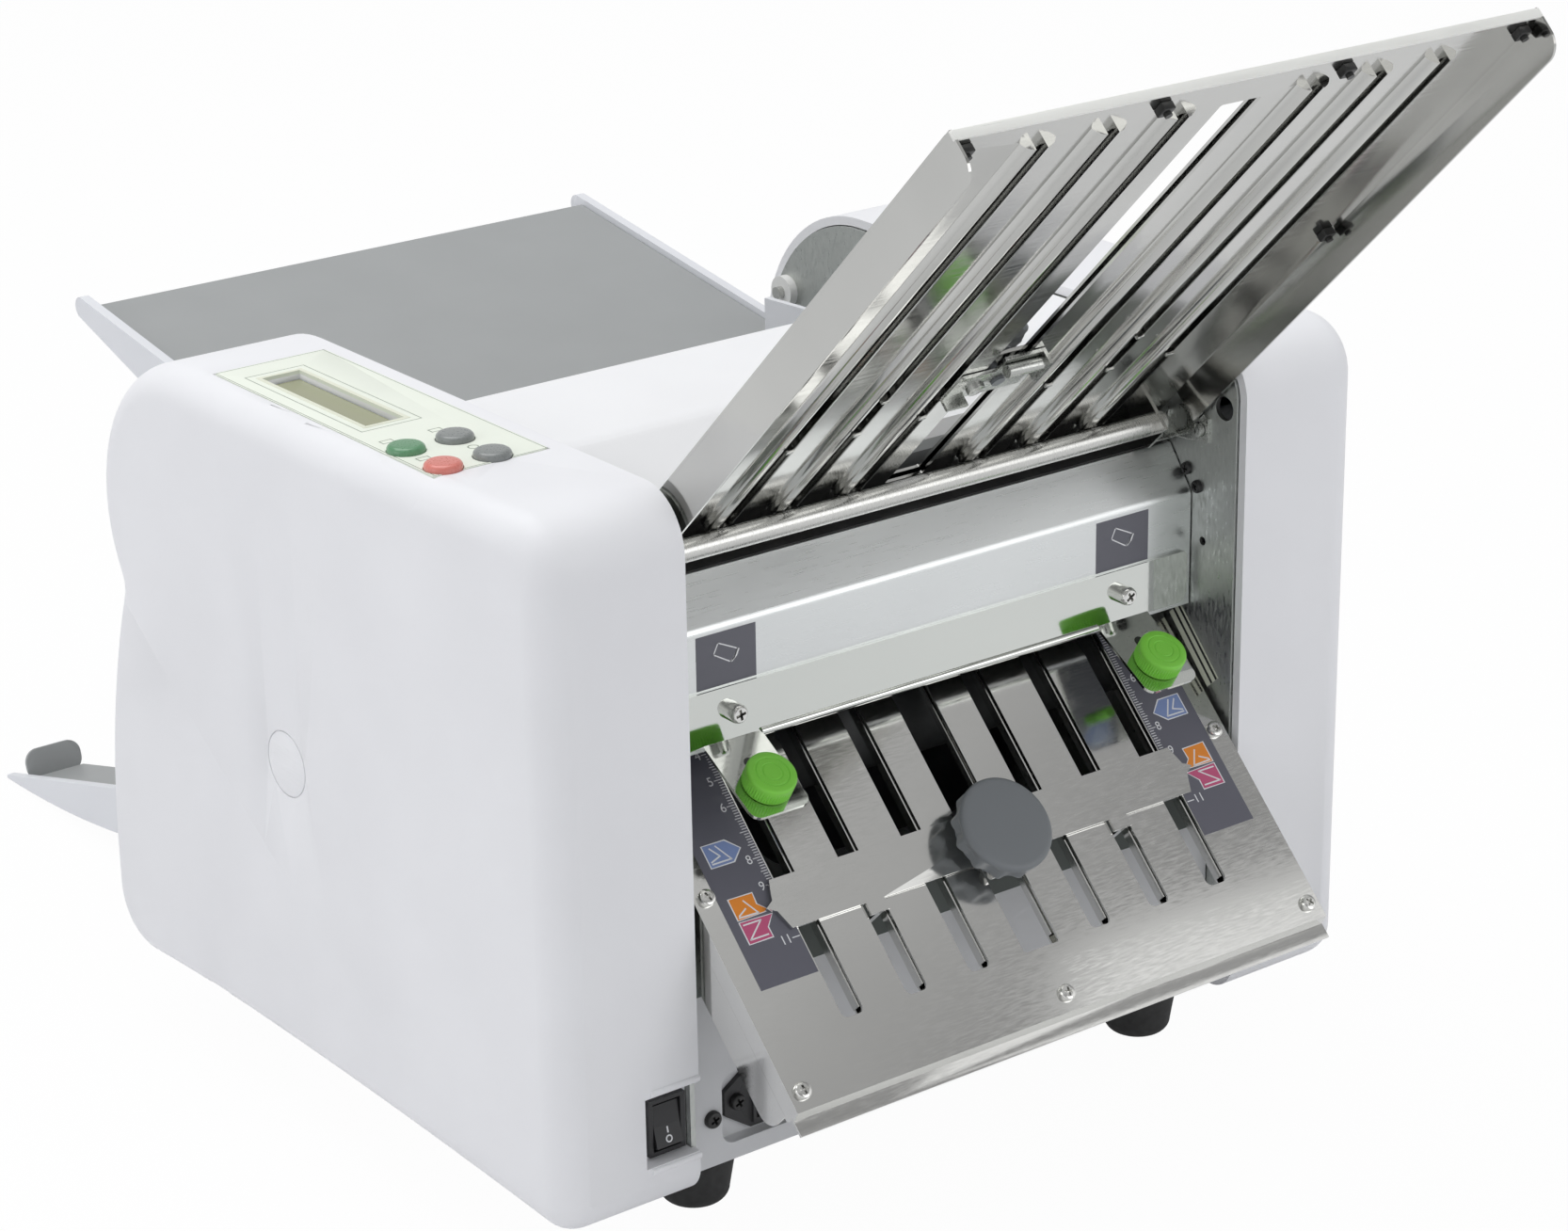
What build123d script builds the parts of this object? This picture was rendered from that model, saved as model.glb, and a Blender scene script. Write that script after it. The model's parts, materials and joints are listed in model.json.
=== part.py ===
from build123d import *
import os
from math import acos, asin, atan, cos, degrees, pi, radians, sin, sqrt, tan

# Desk paper folding machine, a buckle folder with two fold plates.
# Millimetres. X runs across the paper path, Y from the fold plates (front) to the trays (back),
# Z is up. Dimensions are laid out from the centre plane, the table and the front faces of the
# side covers; the export moves everything so that the origin is under the middle of the length.

# ---------------------------------------------------------------- fits and gaps
running = 0.05          # radial play of a shaft in its bearing
slip = 0.3              # gap between pieces that pass each other
nest = 0.4              # gap round a panel that nests in a cover
eps = 0.01

# ---------------------------------------------------------------- side frames and covers
frame_in = 121.0        # centre plane to the inner face of a side frame
frame_t = 2.0
frame_out = frame_in + frame_t
cover_in = 122.0        # open side of a cover
cover_out = 185.0       # outer side of a cover
cover_wall = 3.5
cover_top = 271.0
bottom_front, bottom_mid, bottom_back = 18.0, 29.2, 24.5    # the bottom is a shallow arch
front_top_r = 21.0      # rounding between the top and the front face
rim_r = 12.0            # rounding round the outer side
crown_y = 190.0         # from here to the front the outer side bows in
front_in = 7.5          # how far it has come in at the front face
bulge_y, bulge_z, bulge_r = 220.5, 210.0, 61.0     # round back of the upper half
notch_z = 178.0         # height of the crease where the two back curves meet
notch_r = 5.0
back_y = 295.0          # rearmost line of the lower half
back_tangent_z = 64.0   # height where the lower back curve turns upright
bottom_back_r = 25.0
crease_depth = 1.1      # step of the styling crease at the notch
crease_y, crease_z = 85.0, 52.0     # where the crease fades out
boss_r = 5.0

# ---------------------------------------------------------------- base and feet
pan_t = 1.5
pan_z = 20.0
pan_front_y = 14.0
pan_back_y = 262.0
pan_front_h = 84.0
pan_back_h = 30.0
pan_side_h = 22.0
foot_r, foot_base_r = 15.0, 12.5
foot_x = 103.0
foot_ys = (31.0, 240.0)

# ---------------------------------------------------------------- fold rollers
roller_r = 18.0         # half of the pitch between two neighbouring roller axes
nip_gap = 0.3
roller_half = 116.0
journal_r = 5.0
bearing_r = 8.0
bearing_flange_r = 10.5
bearing_flange_t = 1.2
exit_angle = 250.0      # direction from the centre roller to the exit roller
gear_x, gear_w = 126.0, 8.0
gear_module = 1.5
gear_teeth = 24
gear_backlash = 0.5
belt_x, belt_w, belt_t = 127.5, 8.0, 2.0
drive_pulley_r = 24.0
motor_pulley_r = 10.0
feed_belt_x = 140.5
feed_pulley_r = 10.0
pulley_flange = 1.2

# ---------------------------------------------------------------- fold plates, in their own plane
plate_half = 119.0
sheet_t = 1.0
channel_top = -5.2      # outer face of the front channel sheet, under the cover sheet
paper_gap = 1.6
rib_h, rib_w = 3.0, 4.6
slot_pitch = 27.3
slots_each_side = 3
cover_slot_w, cover_slot_r = 9.5, 2.5
centre_slot_w = 17.0
finger_slot_w = 4.4
flange_depth = 12.6
flange_r = 7.0
lip_step, lip_w = 4.2, 5.5
screw_r = 1.5
screw_head_r, screw_head_h = 3.1, 2.0

# the lower plate has a cover sheet over its channel, the upper plate is the bare channel;
# the lower plate's cover face runs through z - y = lower_face, the upper plate's inner face
# through y + z = upper_face; both slope at 45 degrees
lower_face = 122.3
upper_face = 280.0
lower_outer, lower_inner = 75.5, -74.0      # along the plate, outward is positive
upper_outer = 245.0
lower_channel_inner = -84.0
upper_channel_inner = -26.0
lower_slot_end, upper_slot_end = 51.0, 231.0
lower_slot_start, upper_slot_start = -60.0, 1.0
upper_rim = 2.2         # height of the upper plate's turned-up outer edge

# ---------------------------------------------------------------- stop bars
bar_half = 89.5
bar_w, bar_t = 18.2, 1.5
pointer_l = 6.0
finger_w, finger_t = 3.0, 1.4
finger_reach = 13.0     # below the cover face
tab_out = 4.5
lower_bar_at, upper_bar_at = 7.5, 68.0      # rest places along the plates
knob_r, knob_h = 17.8, 13.5
knob_neck_r, knob_neck_h = 9.0, 3.6
knob_shank_r = 2.5
knob_flutes = 12

# ---------------------------------------------------------------- deflector, retaining bar
deflector_half = 120.6
deflector_t = 1.2
deflector_y = 26.3
deflector_bottom = 168.0
deflector_bend_z = 211.0
deflector_top_y, deflector_top_z = 38.0, 227.0
retainer_half = 118.0
retainer_top, retainer_bottom = 189.5, 170.0
retainer_t = 1.5
tongue_x, tongue_w = 87.0, 24.0
tongue_l, tongue_angle = 33.0, 31.0
tongue_t = 1.2
thumb_r, thumb_h = 9.0, 7.0
thumb_along = 21.5
thumb_knurls = 30
tall_screw_x, tall_screw_z = 86.6, 180.3
tall_screw_r, tall_screw_h = 4.0, 7.0

# ---------------------------------------------------------------- upper plate's cross rod and hooks
rod_r = 4.0
rod_y, rod_z = 33.5, 237.5
rod_half = 112.5
hook_t = 1.2
hook_lip = 10.0

# ---------------------------------------------------------------- feed table and guides
table_angle = 9.2
table_from_nip = (26.47, -1.08)     # front edge of the table's top face from the feed nip roller's axis
table_l = 271.5
table_t = 1.5
rail_in, rail_out = 116.6, 120.7
rail_tip_r = 4.3
rail_over = 2.4
rail_end_y = 232.0
rail_depth_angle = 17.5
guide_x, guide_t = 105.5, 2.6
guide_y0, guide_y1 = 180.0, 261.0
guide_top_back, guide_top_front = 233.0, 237.0
guide_slot_w = 5.6
guide_post_x = 111.5
guide_travel = 50.0
feed_y, feed_z = 158.0, 218.2
feed_shaft_r = 4.0
feed_wheel_r, feed_wheel_w = 17.0, 22.0
feed_wheel_xs = (-60.0, 0.0, 60.0)
pin_y, pin_z, pin_r = 266.0, 232.0, 2.5
pin_bush_r = 6.5

# ---------------------------------------------------------------- delivery
chute_t = 1.2
chute_half = 116.3
chute_flange_end = 262.0
tray_front_y, tray_front_z = 290.0, 62.5
tray_angle = 15.4
tray_l = 233.0
tray_rail_over = 2.4
tray_under_r = 600.0
prong_w = 26.0
prong_depth = 78.0
tab_h = 12.0

# ---------------------------------------------------------------- top cover
lid_half = 120.2
lid_t = 2.5
lid_back_y, lid_top_z = 137.0, 267.5
lid_bend_y, lid_front_y, lid_front_z = 74.0, 50.0, 253.0
lid_skirt = 12.0
lid_pin_y, lid_pin_z, lid_pin_r = 130.0, 257.5, 3.0

# ---------------------------------------------------------------- control panel
panel_x0, panel_x1 = 12.0 - cover_out, 56.5 - cover_out
panel_y0, panel_y1 = 66.0, 208.0
panel_sink, panel_proud = 1.0, 0.2
lcd_x0, lcd_x1, lcd_y0, lcd_y1 = 22.0 - cover_out, 37.0 - cover_out, 124.0, 192.0
button_r = 6.5
button_flange_r = 8.0
button_spots = {"start_button": (19.0 - cover_out, 94.0), "stop_button": (19.0 - cover_out, 71.5),
                "mode_button": (38.0 - cover_out, 94.0), "clear_button": (38.0 - cover_out, 71.5)}
button_travel = 1.2
board_z = 258.0

# ---------------------------------------------------------------- switch and inlet
window_x0, window_x1, window_z0, window_z1 = -144.0, -121.0, 37.5, 63.5
switch_x, switch_z = -132.4, 49.0
switch_w, switch_h, switch_y = 15.0, 21.0, 5.2
rocker_w, rocker_h = 10.6, 16.6
inlet_x, inlet_z = -74.4, 40.0
pocket_w, pocket_h, pocket_r, pocket_deep = 56.0, 27.0, 5.0, 5.0

# ---------------------------------------------------------------- motor and tie bars
motor_y, motor_z, motor_r = 150.0, 71.0, 22.0
motor_x0, motor_x1 = 20.0, 117.0
motor_shaft_r = 4.0
tie_r = 5.0

s45 = sqrt(0.5)


def yz(points, close=True):
    """Face in the plane X = 0 from (y, z) points."""
    return Plane.YZ * make_face(Polyline(*points, close=close))


def along_x(face, x0, x1):
    """Extrude a face of the YZ plane from x0 to x1."""
    return Pos(x0, 0, 0) * extrude(face, x1 - x0)


def rod_x(y, z, r, x0, x1):
    return Pos((x0 + x1) / 2, y, z) * Rot(0, 90, 0) * Cylinder(r, x1 - x0)


def block(x0, x1, y0, y1, z0, z1):
    return Pos((x0 + x1) / 2, (y0 + y1) / 2, (z0 + z1) / 2) * Box(x1 - x0, y1 - y0, z1 - z0)


def both(part):
    """A solid and its mirror image on the other side of the machine."""
    return [part, mirror(part, about=Plane.YZ)]


# ---------------------------------------------------------------- roller places
channel_mid = channel_top - sheet_t - paper_gap / 2
back_face = channel_top - 2 * sheet_t - paper_gap
lower_line = lower_face + channel_mid / s45             # z - y of the lower paper path
upper_line = upper_face + (channel_mid - back_face) / s45   # y + z of the upper paper path
meet_y, meet_z = (upper_line - lower_line) / 2, (upper_line + lower_line) / 2
centre_roller = (meet_y, meet_z - roller_r / s45)


def beside(point, angle, distance):
    return (point[0] + distance * cos(radians(angle)), point[1] + distance * sin(radians(angle)))


rollers = {"feed_nip_roller": (beside(centre_roller, 45, 2 * roller_r), 45.0),
           "centre_roller": (centre_roller, None),
           "fold_nip_roller": (beside(centre_roller, 135, 2 * roller_r), 135.0),
           "exit_roller": (beside(centre_roller, exit_angle, 2 * roller_r), exit_angle)}
table_front_y = rollers["feed_nip_roller"][0][0] + table_from_nip[0]
table_front_z = rollers["feed_nip_roller"][0][1] + table_from_nip[1]
table_y = table_front_y + table_l * cos(radians(table_angle))       # back edge of the table's top face
table_z = table_front_z + table_l * sin(radians(table_angle))


# ---------------------------------------------------------------- covers
notch_y = bulge_y + sqrt(bulge_r ** 2 - (notch_z - bulge_z) ** 2)
bow_r = (crown_y ** 2 + front_in ** 2) / (2 * front_in)


def outer_x(y, inset=0.0):
    """Outer side of a cover at y, or the side of its hollow."""
    return cover_out - bow_r + sqrt((bow_r - inset) ** 2 - max(0.0, crown_y - y) ** 2)


def inside_bow(inset, x_shift=0.0):
    """Prism on the inner side of the bowed outer side, to trim a cover in plan."""
    spots = [(outer_x(y, inset) + x_shift, y) for y in (-10.0, (crown_y - 10.0) / 2, crown_y)]
    far = back_y + 60
    edge = [ThreePointArc(*spots), Polyline(spots[2], (spots[2][0], far), (0, far), (0, -10.0), spots[0])]
    return Pos(0, 0, -50) * extrude(make_face(edge), 500)


def arch_circle():
    """Centre and radius of the arc through the three bottom heights."""
    (y1, z1), (y2, z2), (y3, z3) = (0, bottom_front), (back_y / 2, bottom_mid), (back_y, bottom_back)
    a, b = y2 ** 2 - y1 ** 2 + z2 ** 2 - z1 ** 2, y3 ** 2 - y1 ** 2 + z3 ** 2 - z1 ** 2
    d = 2 * ((y2 - y1) * (z3 - z1) - (y3 - y1) * (z2 - z1))
    yc = (a * (z3 - z1) - b * (z2 - z1)) / d
    zc = (b * (y2 - y1) - a * (y3 - y1)) / d
    return yc, zc, sqrt((y1 - yc) ** 2 + (z1 - zc) ** 2)


def low_line(y, inset):
    """Height of the arched bottom of a cover, or of its hollow, at y."""
    yc, zc, r = arch_circle()
    return zc + sqrt((r + inset) ** 2 - (y - yc) ** 2)


def cover_face():
    """Side outline of a cover."""
    rise = notch_z - back_tangent_z
    back_r = (rise ** 2 + (back_y - notch_y) ** 2) / (2 * (back_y - notch_y))
    half = asin(rise / back_r) / 2
    mid = (back_y - back_r * (1 - cos(half)), back_tangent_z + back_r * sin(half))
    low = asin((notch_z - bulge_z) / bulge_r)
    turn = (pi / 2 + low) / 2
    bulge_mid = (bulge_y + bulge_r * cos(turn), bulge_z + bulge_r * sin(turn))
    edge = [Polyline((bulge_y, cover_top), (0, cover_top), (0, bottom_front)),
            ThreePointArc((0, bottom_front), (back_y / 2, bottom_mid), (back_y, bottom_back)),
            Line((back_y, bottom_back), (back_y, back_tangent_z)),
            ThreePointArc((back_y, back_tangent_z), mid, (notch_y, notch_z)),
            ThreePointArc((notch_y, notch_z), bulge_mid, (bulge_y, bulge_z + bulge_r))]
    face = make_face(edge)
    notch = ShapeList([v for v in face.vertices() if near(v.Y, notch_z) and near(v.X, notch_y)])
    face = fillet(notch, notch_r)
    low = ShapeList([v for v in face.vertices() if near(v.X, back_y) and v.Y < back_tangent_z - 5])
    face = fillet(low, bottom_back_r)
    top = ShapeList([v for v in face.vertices() if near(v.X, 0) and near(v.Y, cover_top)])
    return fillet(top, front_top_r)


def edges_where(part, test):
    return ShapeList([e for e in part.edges() if test(e)])


def near(a, b, tol=0.05):
    return abs(a - b) < tol


def cover_block(inset, x_in, x_out):
    """Solid with the cover's outer shape, or its hollow when inset by the wall."""
    face = cover_face()
    if inset > 0:
        face = offset(face, -inset)
    body = Pos(x_in, 0, 0) * extrude(Plane.YZ * face, x_out - x_in) & inside_bow(inset)

    def on_rim(e):
        spots = [e.position_at(f) for f in (0, 0.5, 1)]
        outer = all(near(p.X, outer_x(p.Y, inset), 0.1) for p in spots)
        crown = all(near(p.Y, crown_y) for p in spots)
        foot = all(near(p.Y, inset) and near(p.Z, low_line(p.Y, inset)) for p in spots)
        return (outer and not crown) or foot

    return fillet(edges_where(body, on_rim), rim_r - inset)


def crease_cut():
    """Wedge that steps the lower back of the outer side inward along a curved crease."""
    edge = [ThreePointArc((notch_y + 6, notch_z + 4), (180, 113.5), (crease_y, crease_z)),
            Polyline((crease_y, crease_z), (crease_y, 0), (back_y + 20, 0), (back_y + 20, notch_z + 4),
                     (notch_y + 6, notch_z + 4))]
    region = Pos(cover_out - 8, 0, 0) * extrude(Plane.YZ * make_face(edge), 14)
    tilt = atan(crease_depth / (notch_y - crease_y))
    hinge = Pos(outer_x(crease_y), crease_y, 0)
    return region - hinge * Rot(0, 0, degrees(tilt)) * hinge.inverse() * inside_bow(0.0)


def cover_shell():
    """Right cover: a moulded shell, open towards the side frame, with four screw bosses."""
    shell = cover_block(0, cover_in, cover_out)
    shell -= cover_block(cover_wall, cover_in - 1, cover_out - cover_wall)
    shell -= crease_cut()
    for y, z in boss_spots:
        shell += rod_x(y, z, boss_r, frame_out + slip, outer_x(y) - cover_wall + 0.5)
    return shell


boss_spots = ((24.0, 236.0), (24.0, 88.0), (250.0, 236.0), (262.0, 48.0))


def panel_pocket(depth_top):
    return block(panel_x0 - slip, panel_x1 + slip, panel_y0 - slip, panel_y1 + slip, depth_top,
                 cover_top + 5)


def right_cover():
    return cover_shell()


def left_cover():
    shell = mirror(cover_shell(), about=Plane.YZ)
    shell -= panel_pocket(cover_top - panel_sink)
    shell -= block(lcd_x0, lcd_x1, lcd_y0, lcd_y1, 250, cover_top + 5)
    for x, y in button_spots.values():
        shell -= Pos(x, y, cover_top) * Cylinder(button_r + slip, 20)
    # recessed shelf that holds the switch
    rim = 3.0
    shelf_back = switch_y + 3.3
    shell += block(window_x0 - rim, -frame_out - slip, cover_wall - 0.5, shelf_back,
                   window_z0 - rim, window_z1 + rim)
    shell -= block(window_x0, window_x1 + 1, -1, switch_y + 1.3, window_z0, window_z1)
    shell -= block(switch_x - switch_w / 2 + 1, switch_x + switch_w / 2 - 1, 0, shelf_back + 1,
                   switch_z - switch_h / 2 + 1, switch_z + switch_h / 2 - 1)
    for z in (window_z0 - 1.5, window_z1 + 1.5):
        shell += fillet(block(window_x0 + 2, -cover_in, -1.0, 1.0, z - 1.2, z + 1.2).edges().filter_by(Axis.X)
                        .group_by(Axis.Y)[0], 0.9)
    # faint moulded ring on the outer side
    side = -outer_x(153.5)
    ring = rod_x(153.5, 145.0, 12.3, side - 1, side + 0.9)
    ring -= rod_x(153.5, 145.0, 11.7, side - 2, side + 1.2)
    return shell - ring


# ---------------------------------------------------------------- side frames
def frame_blank():
    face = offset(cover_face(), -(cover_wall + nest))
    corner = ShapeList([v for v in face.vertices() if v.Y < cover_top / 2 and v.X < 20])
    face = fillet(corner, rim_r - cover_wall - nest)
    return Pos(frame_in, 0, 0) * extrude(Plane.YZ * face, frame_t)


def frame_hole(part, y, z, r):
    return part - rod_x(y, z, r, frame_in - 1, frame_out + 1)


def side_frame():
    plate = frame_blank()
    for (y, z), _ in rollers.values():
        plate = frame_hole(plate, y, z, bearing_r)
    plate = frame_hole(plate, feed_y, feed_z, bearing_r)
    plate = frame_hole(plate, lid_pin_y, lid_pin_z, lid_pin_r + running)
    plate = frame_hole(plate, pin_y, pin_z, pin_bush_r - 2)
    plate = frame_hole(plate, 10.4, 246.2, 4.5)
    plate = frame_hole(plate, 20.2, 193.6, 1.6)
    return plate


def right_side_frame():
    return frame_hole(side_frame(), motor_y, motor_z, motor_shaft_r + 4)


def left_side_frame():
    return mirror(side_frame(), about=Plane.YZ)


# ---------------------------------------------------------------- base
def base_pan():
    side = frame_in - slip
    pan = block(-side, side, pan_front_y, pan_back_y, pan_z, pan_z + pan_t)
    pan += block(-side, side, pan_front_y, pan_front_y + pan_t, pan_z, pan_z + pan_front_h)
    pan += block(-side, side, pan_back_y - pan_t, pan_back_y, pan_z, pan_z + pan_back_h)
    for sx in (-1, 1):
        x0, x1 = sorted((sx * side, sx * (side - pan_t)))
        pan += block(x0, x1, pan_front_y, pan_back_y, pan_z, pan_z + pan_side_h)
    y0, y1 = pan_front_y, pan_front_y + pocket_deep
    grow = 2 * pan_t
    pocket_out = Plane.XZ * RectangleRounded(pocket_w + grow, pocket_h + grow, pocket_r + pan_t)
    pocket_in = Plane.XZ * RectangleRounded(pocket_w, pocket_h, pocket_r)
    pan += Pos(inlet_x, y1 + pan_t, inlet_z) * extrude(pocket_out, pocket_deep + pan_t)
    pan -= Pos(inlet_x, y1, inlet_z) * extrude(pocket_in, pocket_deep + 2)
    pan -= block(inlet_x - 14, inlet_x + 14, y1 - 1, y1 + pan_t + 1, inlet_z - 10.5, inlet_z + 10.5)
    return pan


def feet():
    lip = 5.0
    prof = make_face([Polyline((0, 0), (foot_base_r - lip, 0)),
                      ThreePointArc((foot_base_r - lip, 0),
                                    (foot_base_r - lip * (1 - s45), lip * (1 - s45)),
                                    (foot_base_r, lip)),
                      Polyline((foot_base_r, lip), (foot_r, pan_z), (0, pan_z), (0, 0))])
    foot = revolve(Plane.XZ * prof, Axis.Z)
    return [Pos(sx * foot_x, y, 0) * foot for y in foot_ys for sx in (-1, 1)]


def tie_spots():
    y = guide_y1 - 8
    under = table_z - (table_y - y) * tan(radians(table_angle)) - table_t / cos(radians(table_angle))
    return ((40.0, 62.0), (246.0, 60.0), (y, under - tie_r - 0.1), (feed_y, 183.0))


def frame_rods():
    """Tie bars between the side frames, and the two stub pins behind."""
    bars = [rod_x(y, z, tie_r, -frame_in, frame_in) for y, z in tie_spots()]
    return bars + both(rod_x(pin_y, pin_z, pin_r, frame_in - 6.0, frame_out + 2))


# ---------------------------------------------------------------- rollers, gears, bearings
def roller(name):
    (y, z), _ = rollers[name]
    r = roller_r - nip_gap / 2
    body = rod_x(y, z, r, -roller_half, roller_half)
    body = chamfer(body.edges().filter_by(GeomType.CIRCLE), 0.8)
    right_end = {"centre_roller": belt_x + belt_w + 2, "feed_nip_roller": feed_belt_x + belt_w + 2}
    x_end = right_end.get(name, frame_out + bearing_flange_t + 0.6)
    return body + rod_x(y, z, journal_r, -(gear_x + gear_w + 2), x_end)


def gear_blank(teeth, phase):
    """Spur gear in the XY plane with straight-sided teeth; one tooth points along phase."""
    pitch = gear_module * teeth / 2
    tip, root = pitch + 0.9 * gear_module, pitch - 1.15 * gear_module
    step = 360 / teeth
    half_root, half_tip = 0.30 * step, 0.13 * step
    play = degrees(gear_backlash / 2 / pitch)
    points = []
    for n in range(teeth):
        at = phase + n * step
        for angle, r in ((-half_root, root), (-half_tip, tip), (half_tip, tip), (half_root, root)):
            side = play if angle > 0 else -play
            points.append(beside((0, 0), at + angle - side, r))
    return make_face(Polyline(*points, close=True))


def meshing_phase(angle):
    """Phase of a gear that lies at this angle from the centre gear, which has phase 0."""
    step = 360 / gear_teeth
    return 2 * angle + 180 - step / 2


def fold_gear(name):
    (y, z), angle = rollers[name]
    phase = 0.0 if angle is None else meshing_phase(angle)
    face = Pos(y, z) * gear_blank(gear_teeth, phase)
    face -= Pos(y, z) * Circle(journal_r + running)
    gear = Pos(-gear_x - gear_w, 0, 0) * extrude(Plane.YZ * face, gear_w)
    hub = rod_x(y, z, journal_r + 4, -gear_x, -frame_out - bearing_flange_t - 0.5)
    return gear + (hub - rod_x(y, z, journal_r + running, -gear_x - 1, -frame_out))


def pulley(y, z, r, x0, bore):
    """Belt pulley with two low flanges."""
    wheel = rod_x(y, z, r, x0 - 1, x0 + belt_w + 1)
    for x in (x0 - 1 - pulley_flange, x0 + belt_w + 1):
        wheel += rod_x(y, z, r + belt_t + 0.8, x, x + pulley_flange)
    return wheel - rod_x(y, z, bore, x0 - 9, x0 + belt_w + 9)


def belt(a, ra, b, rb, x0):
    """Closed belt round two pulleys, a little clear of both."""
    ra, rb = ra + slip, rb + slip

    def loop(grow):
        d = sqrt((b[0] - a[0]) ** 2 + (b[1] - a[1]) ** 2)
        heading = degrees(acos((b[0] - a[0]) / d)) * (1 if b[1] >= a[1] else -1)
        lean = degrees(acos((ra - rb) / d))
        pts = []
        for side in (1, -1):
            pts.append((beside(a, heading + side * lean, ra + grow),
                        beside(b, heading + side * lean, rb + grow)))
        far_a = beside(a, heading + 180, ra + grow)
        far_b = beside(b, heading, rb + grow)
        return make_face([Line(pts[0][0], pts[0][1]), ThreePointArc(pts[0][1], far_b, pts[1][1]),
                          Line(pts[1][1], pts[1][0]), ThreePointArc(pts[1][0], far_a, pts[0][0])])

    return Pos(x0, 0, 0) * extrude(Plane.YZ * (loop(belt_t - slip) - loop(0)), belt_w)


def shaft_bearings():
    """Flanged plastic bushes in the side frames, one for each shaft end, and two pin bushes."""
    out = []
    for (y, z), bore in [(r[0], journal_r) for r in rollers.values()] + [((feed_y, feed_z), feed_shaft_r)]:
        bush = rod_x(y, z, bearing_r, frame_in - 1.5, frame_out)
        bush += rod_x(y, z, bearing_flange_r, frame_out, frame_out + bearing_flange_t)
        bush -= rod_x(y, z, bore + running, frame_in - 5, frame_out + 5)
        out += both(bush)
    pin_bush = rod_x(pin_y, pin_z, pin_bush_r, frame_in - 3.5, frame_in)
    pin_bush += rod_x(pin_y, pin_z, pin_bush_r - 2, frame_in, frame_out)
    pin_bush -= rod_x(pin_y, pin_z, pin_r, frame_in - 5, frame_out + 5)
    return out + both(pin_bush)


# ---------------------------------------------------------------- feed
def feed_shaft():
    shaft = rod_x(feed_y, feed_z, feed_shaft_r, -frame_out - 4, feed_belt_x + belt_w + 3)
    return shaft + pulley(feed_y, feed_z, feed_pulley_r, feed_belt_x, feed_shaft_r - 1)


def feed_wheels():
    tyre = rod_x(0, 0, feed_wheel_r, -feed_wheel_w / 2, feed_wheel_w / 2)
    tyre = chamfer(tyre.edges().filter_by(GeomType.CIRCLE), 1.0)
    tyre -= rod_x(0, 0, feed_shaft_r, -feed_wheel_w, feed_wheel_w)
    return [Pos(x, feed_y, feed_z) * tyre for x in feed_wheel_xs]


table_place = Location((0, table_y, table_z), (table_angle, 0, 0))


def table_top_z(y):
    return table_z - (table_y - y) * tan(radians(table_angle))


def feed_table():
    """Grey sheet with a slot for each guide and a front lip that curls under the first roller."""
    top = block(-rail_in + slip, rail_in - slip, -table_l, 0, -table_t, 0)
    mid = (guide_y0 + guide_y1) / 2
    along = (mid - table_y) / cos(radians(table_angle))
    for sx in (-1, 1):
        x0 = guide_post_x - guide_travel - guide_slot_w / 2
        x1 = guide_post_x + guide_slot_w / 2
        x0, x1 = sorted((sx * x0, sx * x1))
        top -= block(x0, x1, along - guide_slot_w / 2, along + guide_slot_w / 2, -5, 5)
    pad_at = (feed_y - table_y) / cos(radians(table_angle))
    top -= block(-13.5, 13.5, pad_at - 12.5, pad_at + 12.5, -5, 5)
    table = table_place * top
    (ry, rz), _ = rollers["feed_nip_roller"]
    inner, outer = roller_r + 1.6, roller_r + 1.6 + table_t
    start = beside((ry, rz), -25, inner)
    lip_face = make_face([Line(start, beside((ry, rz), -25, outer)),
                          ThreePointArc(beside((ry, rz), -25, outer), beside((ry, rz), -65, outer),
                                        beside((ry, rz), -105, outer)),
                          Line(beside((ry, rz), -105, outer), beside((ry, rz), -105, inner)),
                          ThreePointArc(beside((ry, rz), -105, inner), beside((ry, rz), -65, inner), start)])
    bridge = make_face(Polyline(start, beside((ry, rz), -25, outer),
                                (table_front_y + 1.5, table_front_z - table_t),
                                (table_front_y + 1, table_front_z), close=True))
    lip = extrude(Plane.YZ * (lip_face + bridge), 2 * roller_half - 8)
    return table + Pos(-roller_half + 4, 0, 0) * lip


def feed_table_rails():
    """White side rails that taper towards a rounded tip."""
    top_at = rail_over / cos(radians(table_angle))
    tip_y = table_y + 4.5
    tip_z = table_top_z(tip_y) + top_at - rail_tip_r / cos(radians(table_angle))
    up, down = 90 + table_angle, -90 + rail_depth_angle
    tip_top, tip_low = beside((tip_y, tip_z), up, rail_tip_r), beside((tip_y, tip_z), down, rail_tip_r)
    knee_y = 330.0
    knee_z = tip_low[1] - (tip_low[0] - knee_y) * tan(radians(rail_depth_angle))
    end_low = table_top_z(rail_end_y) - 12.0
    face = make_face([Line((rail_end_y, table_top_z(rail_end_y) + top_at), tip_top),
                      ThreePointArc(tip_top, beside((tip_y, tip_z), (up + down) / 2 - 0.0, rail_tip_r), tip_low),
                      Polyline(tip_low, (knee_y, knee_z), (rail_end_y, end_low),
                               (rail_end_y, table_top_z(rail_end_y) + top_at))])
    rail = along_x(Plane.YZ * face, rail_in, rail_out)
    bar_y, bar_z = tie_spots()[2]
    return both(rail - rod_x(bar_y, bar_z, tie_r + 0.1, 100, 130))


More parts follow.
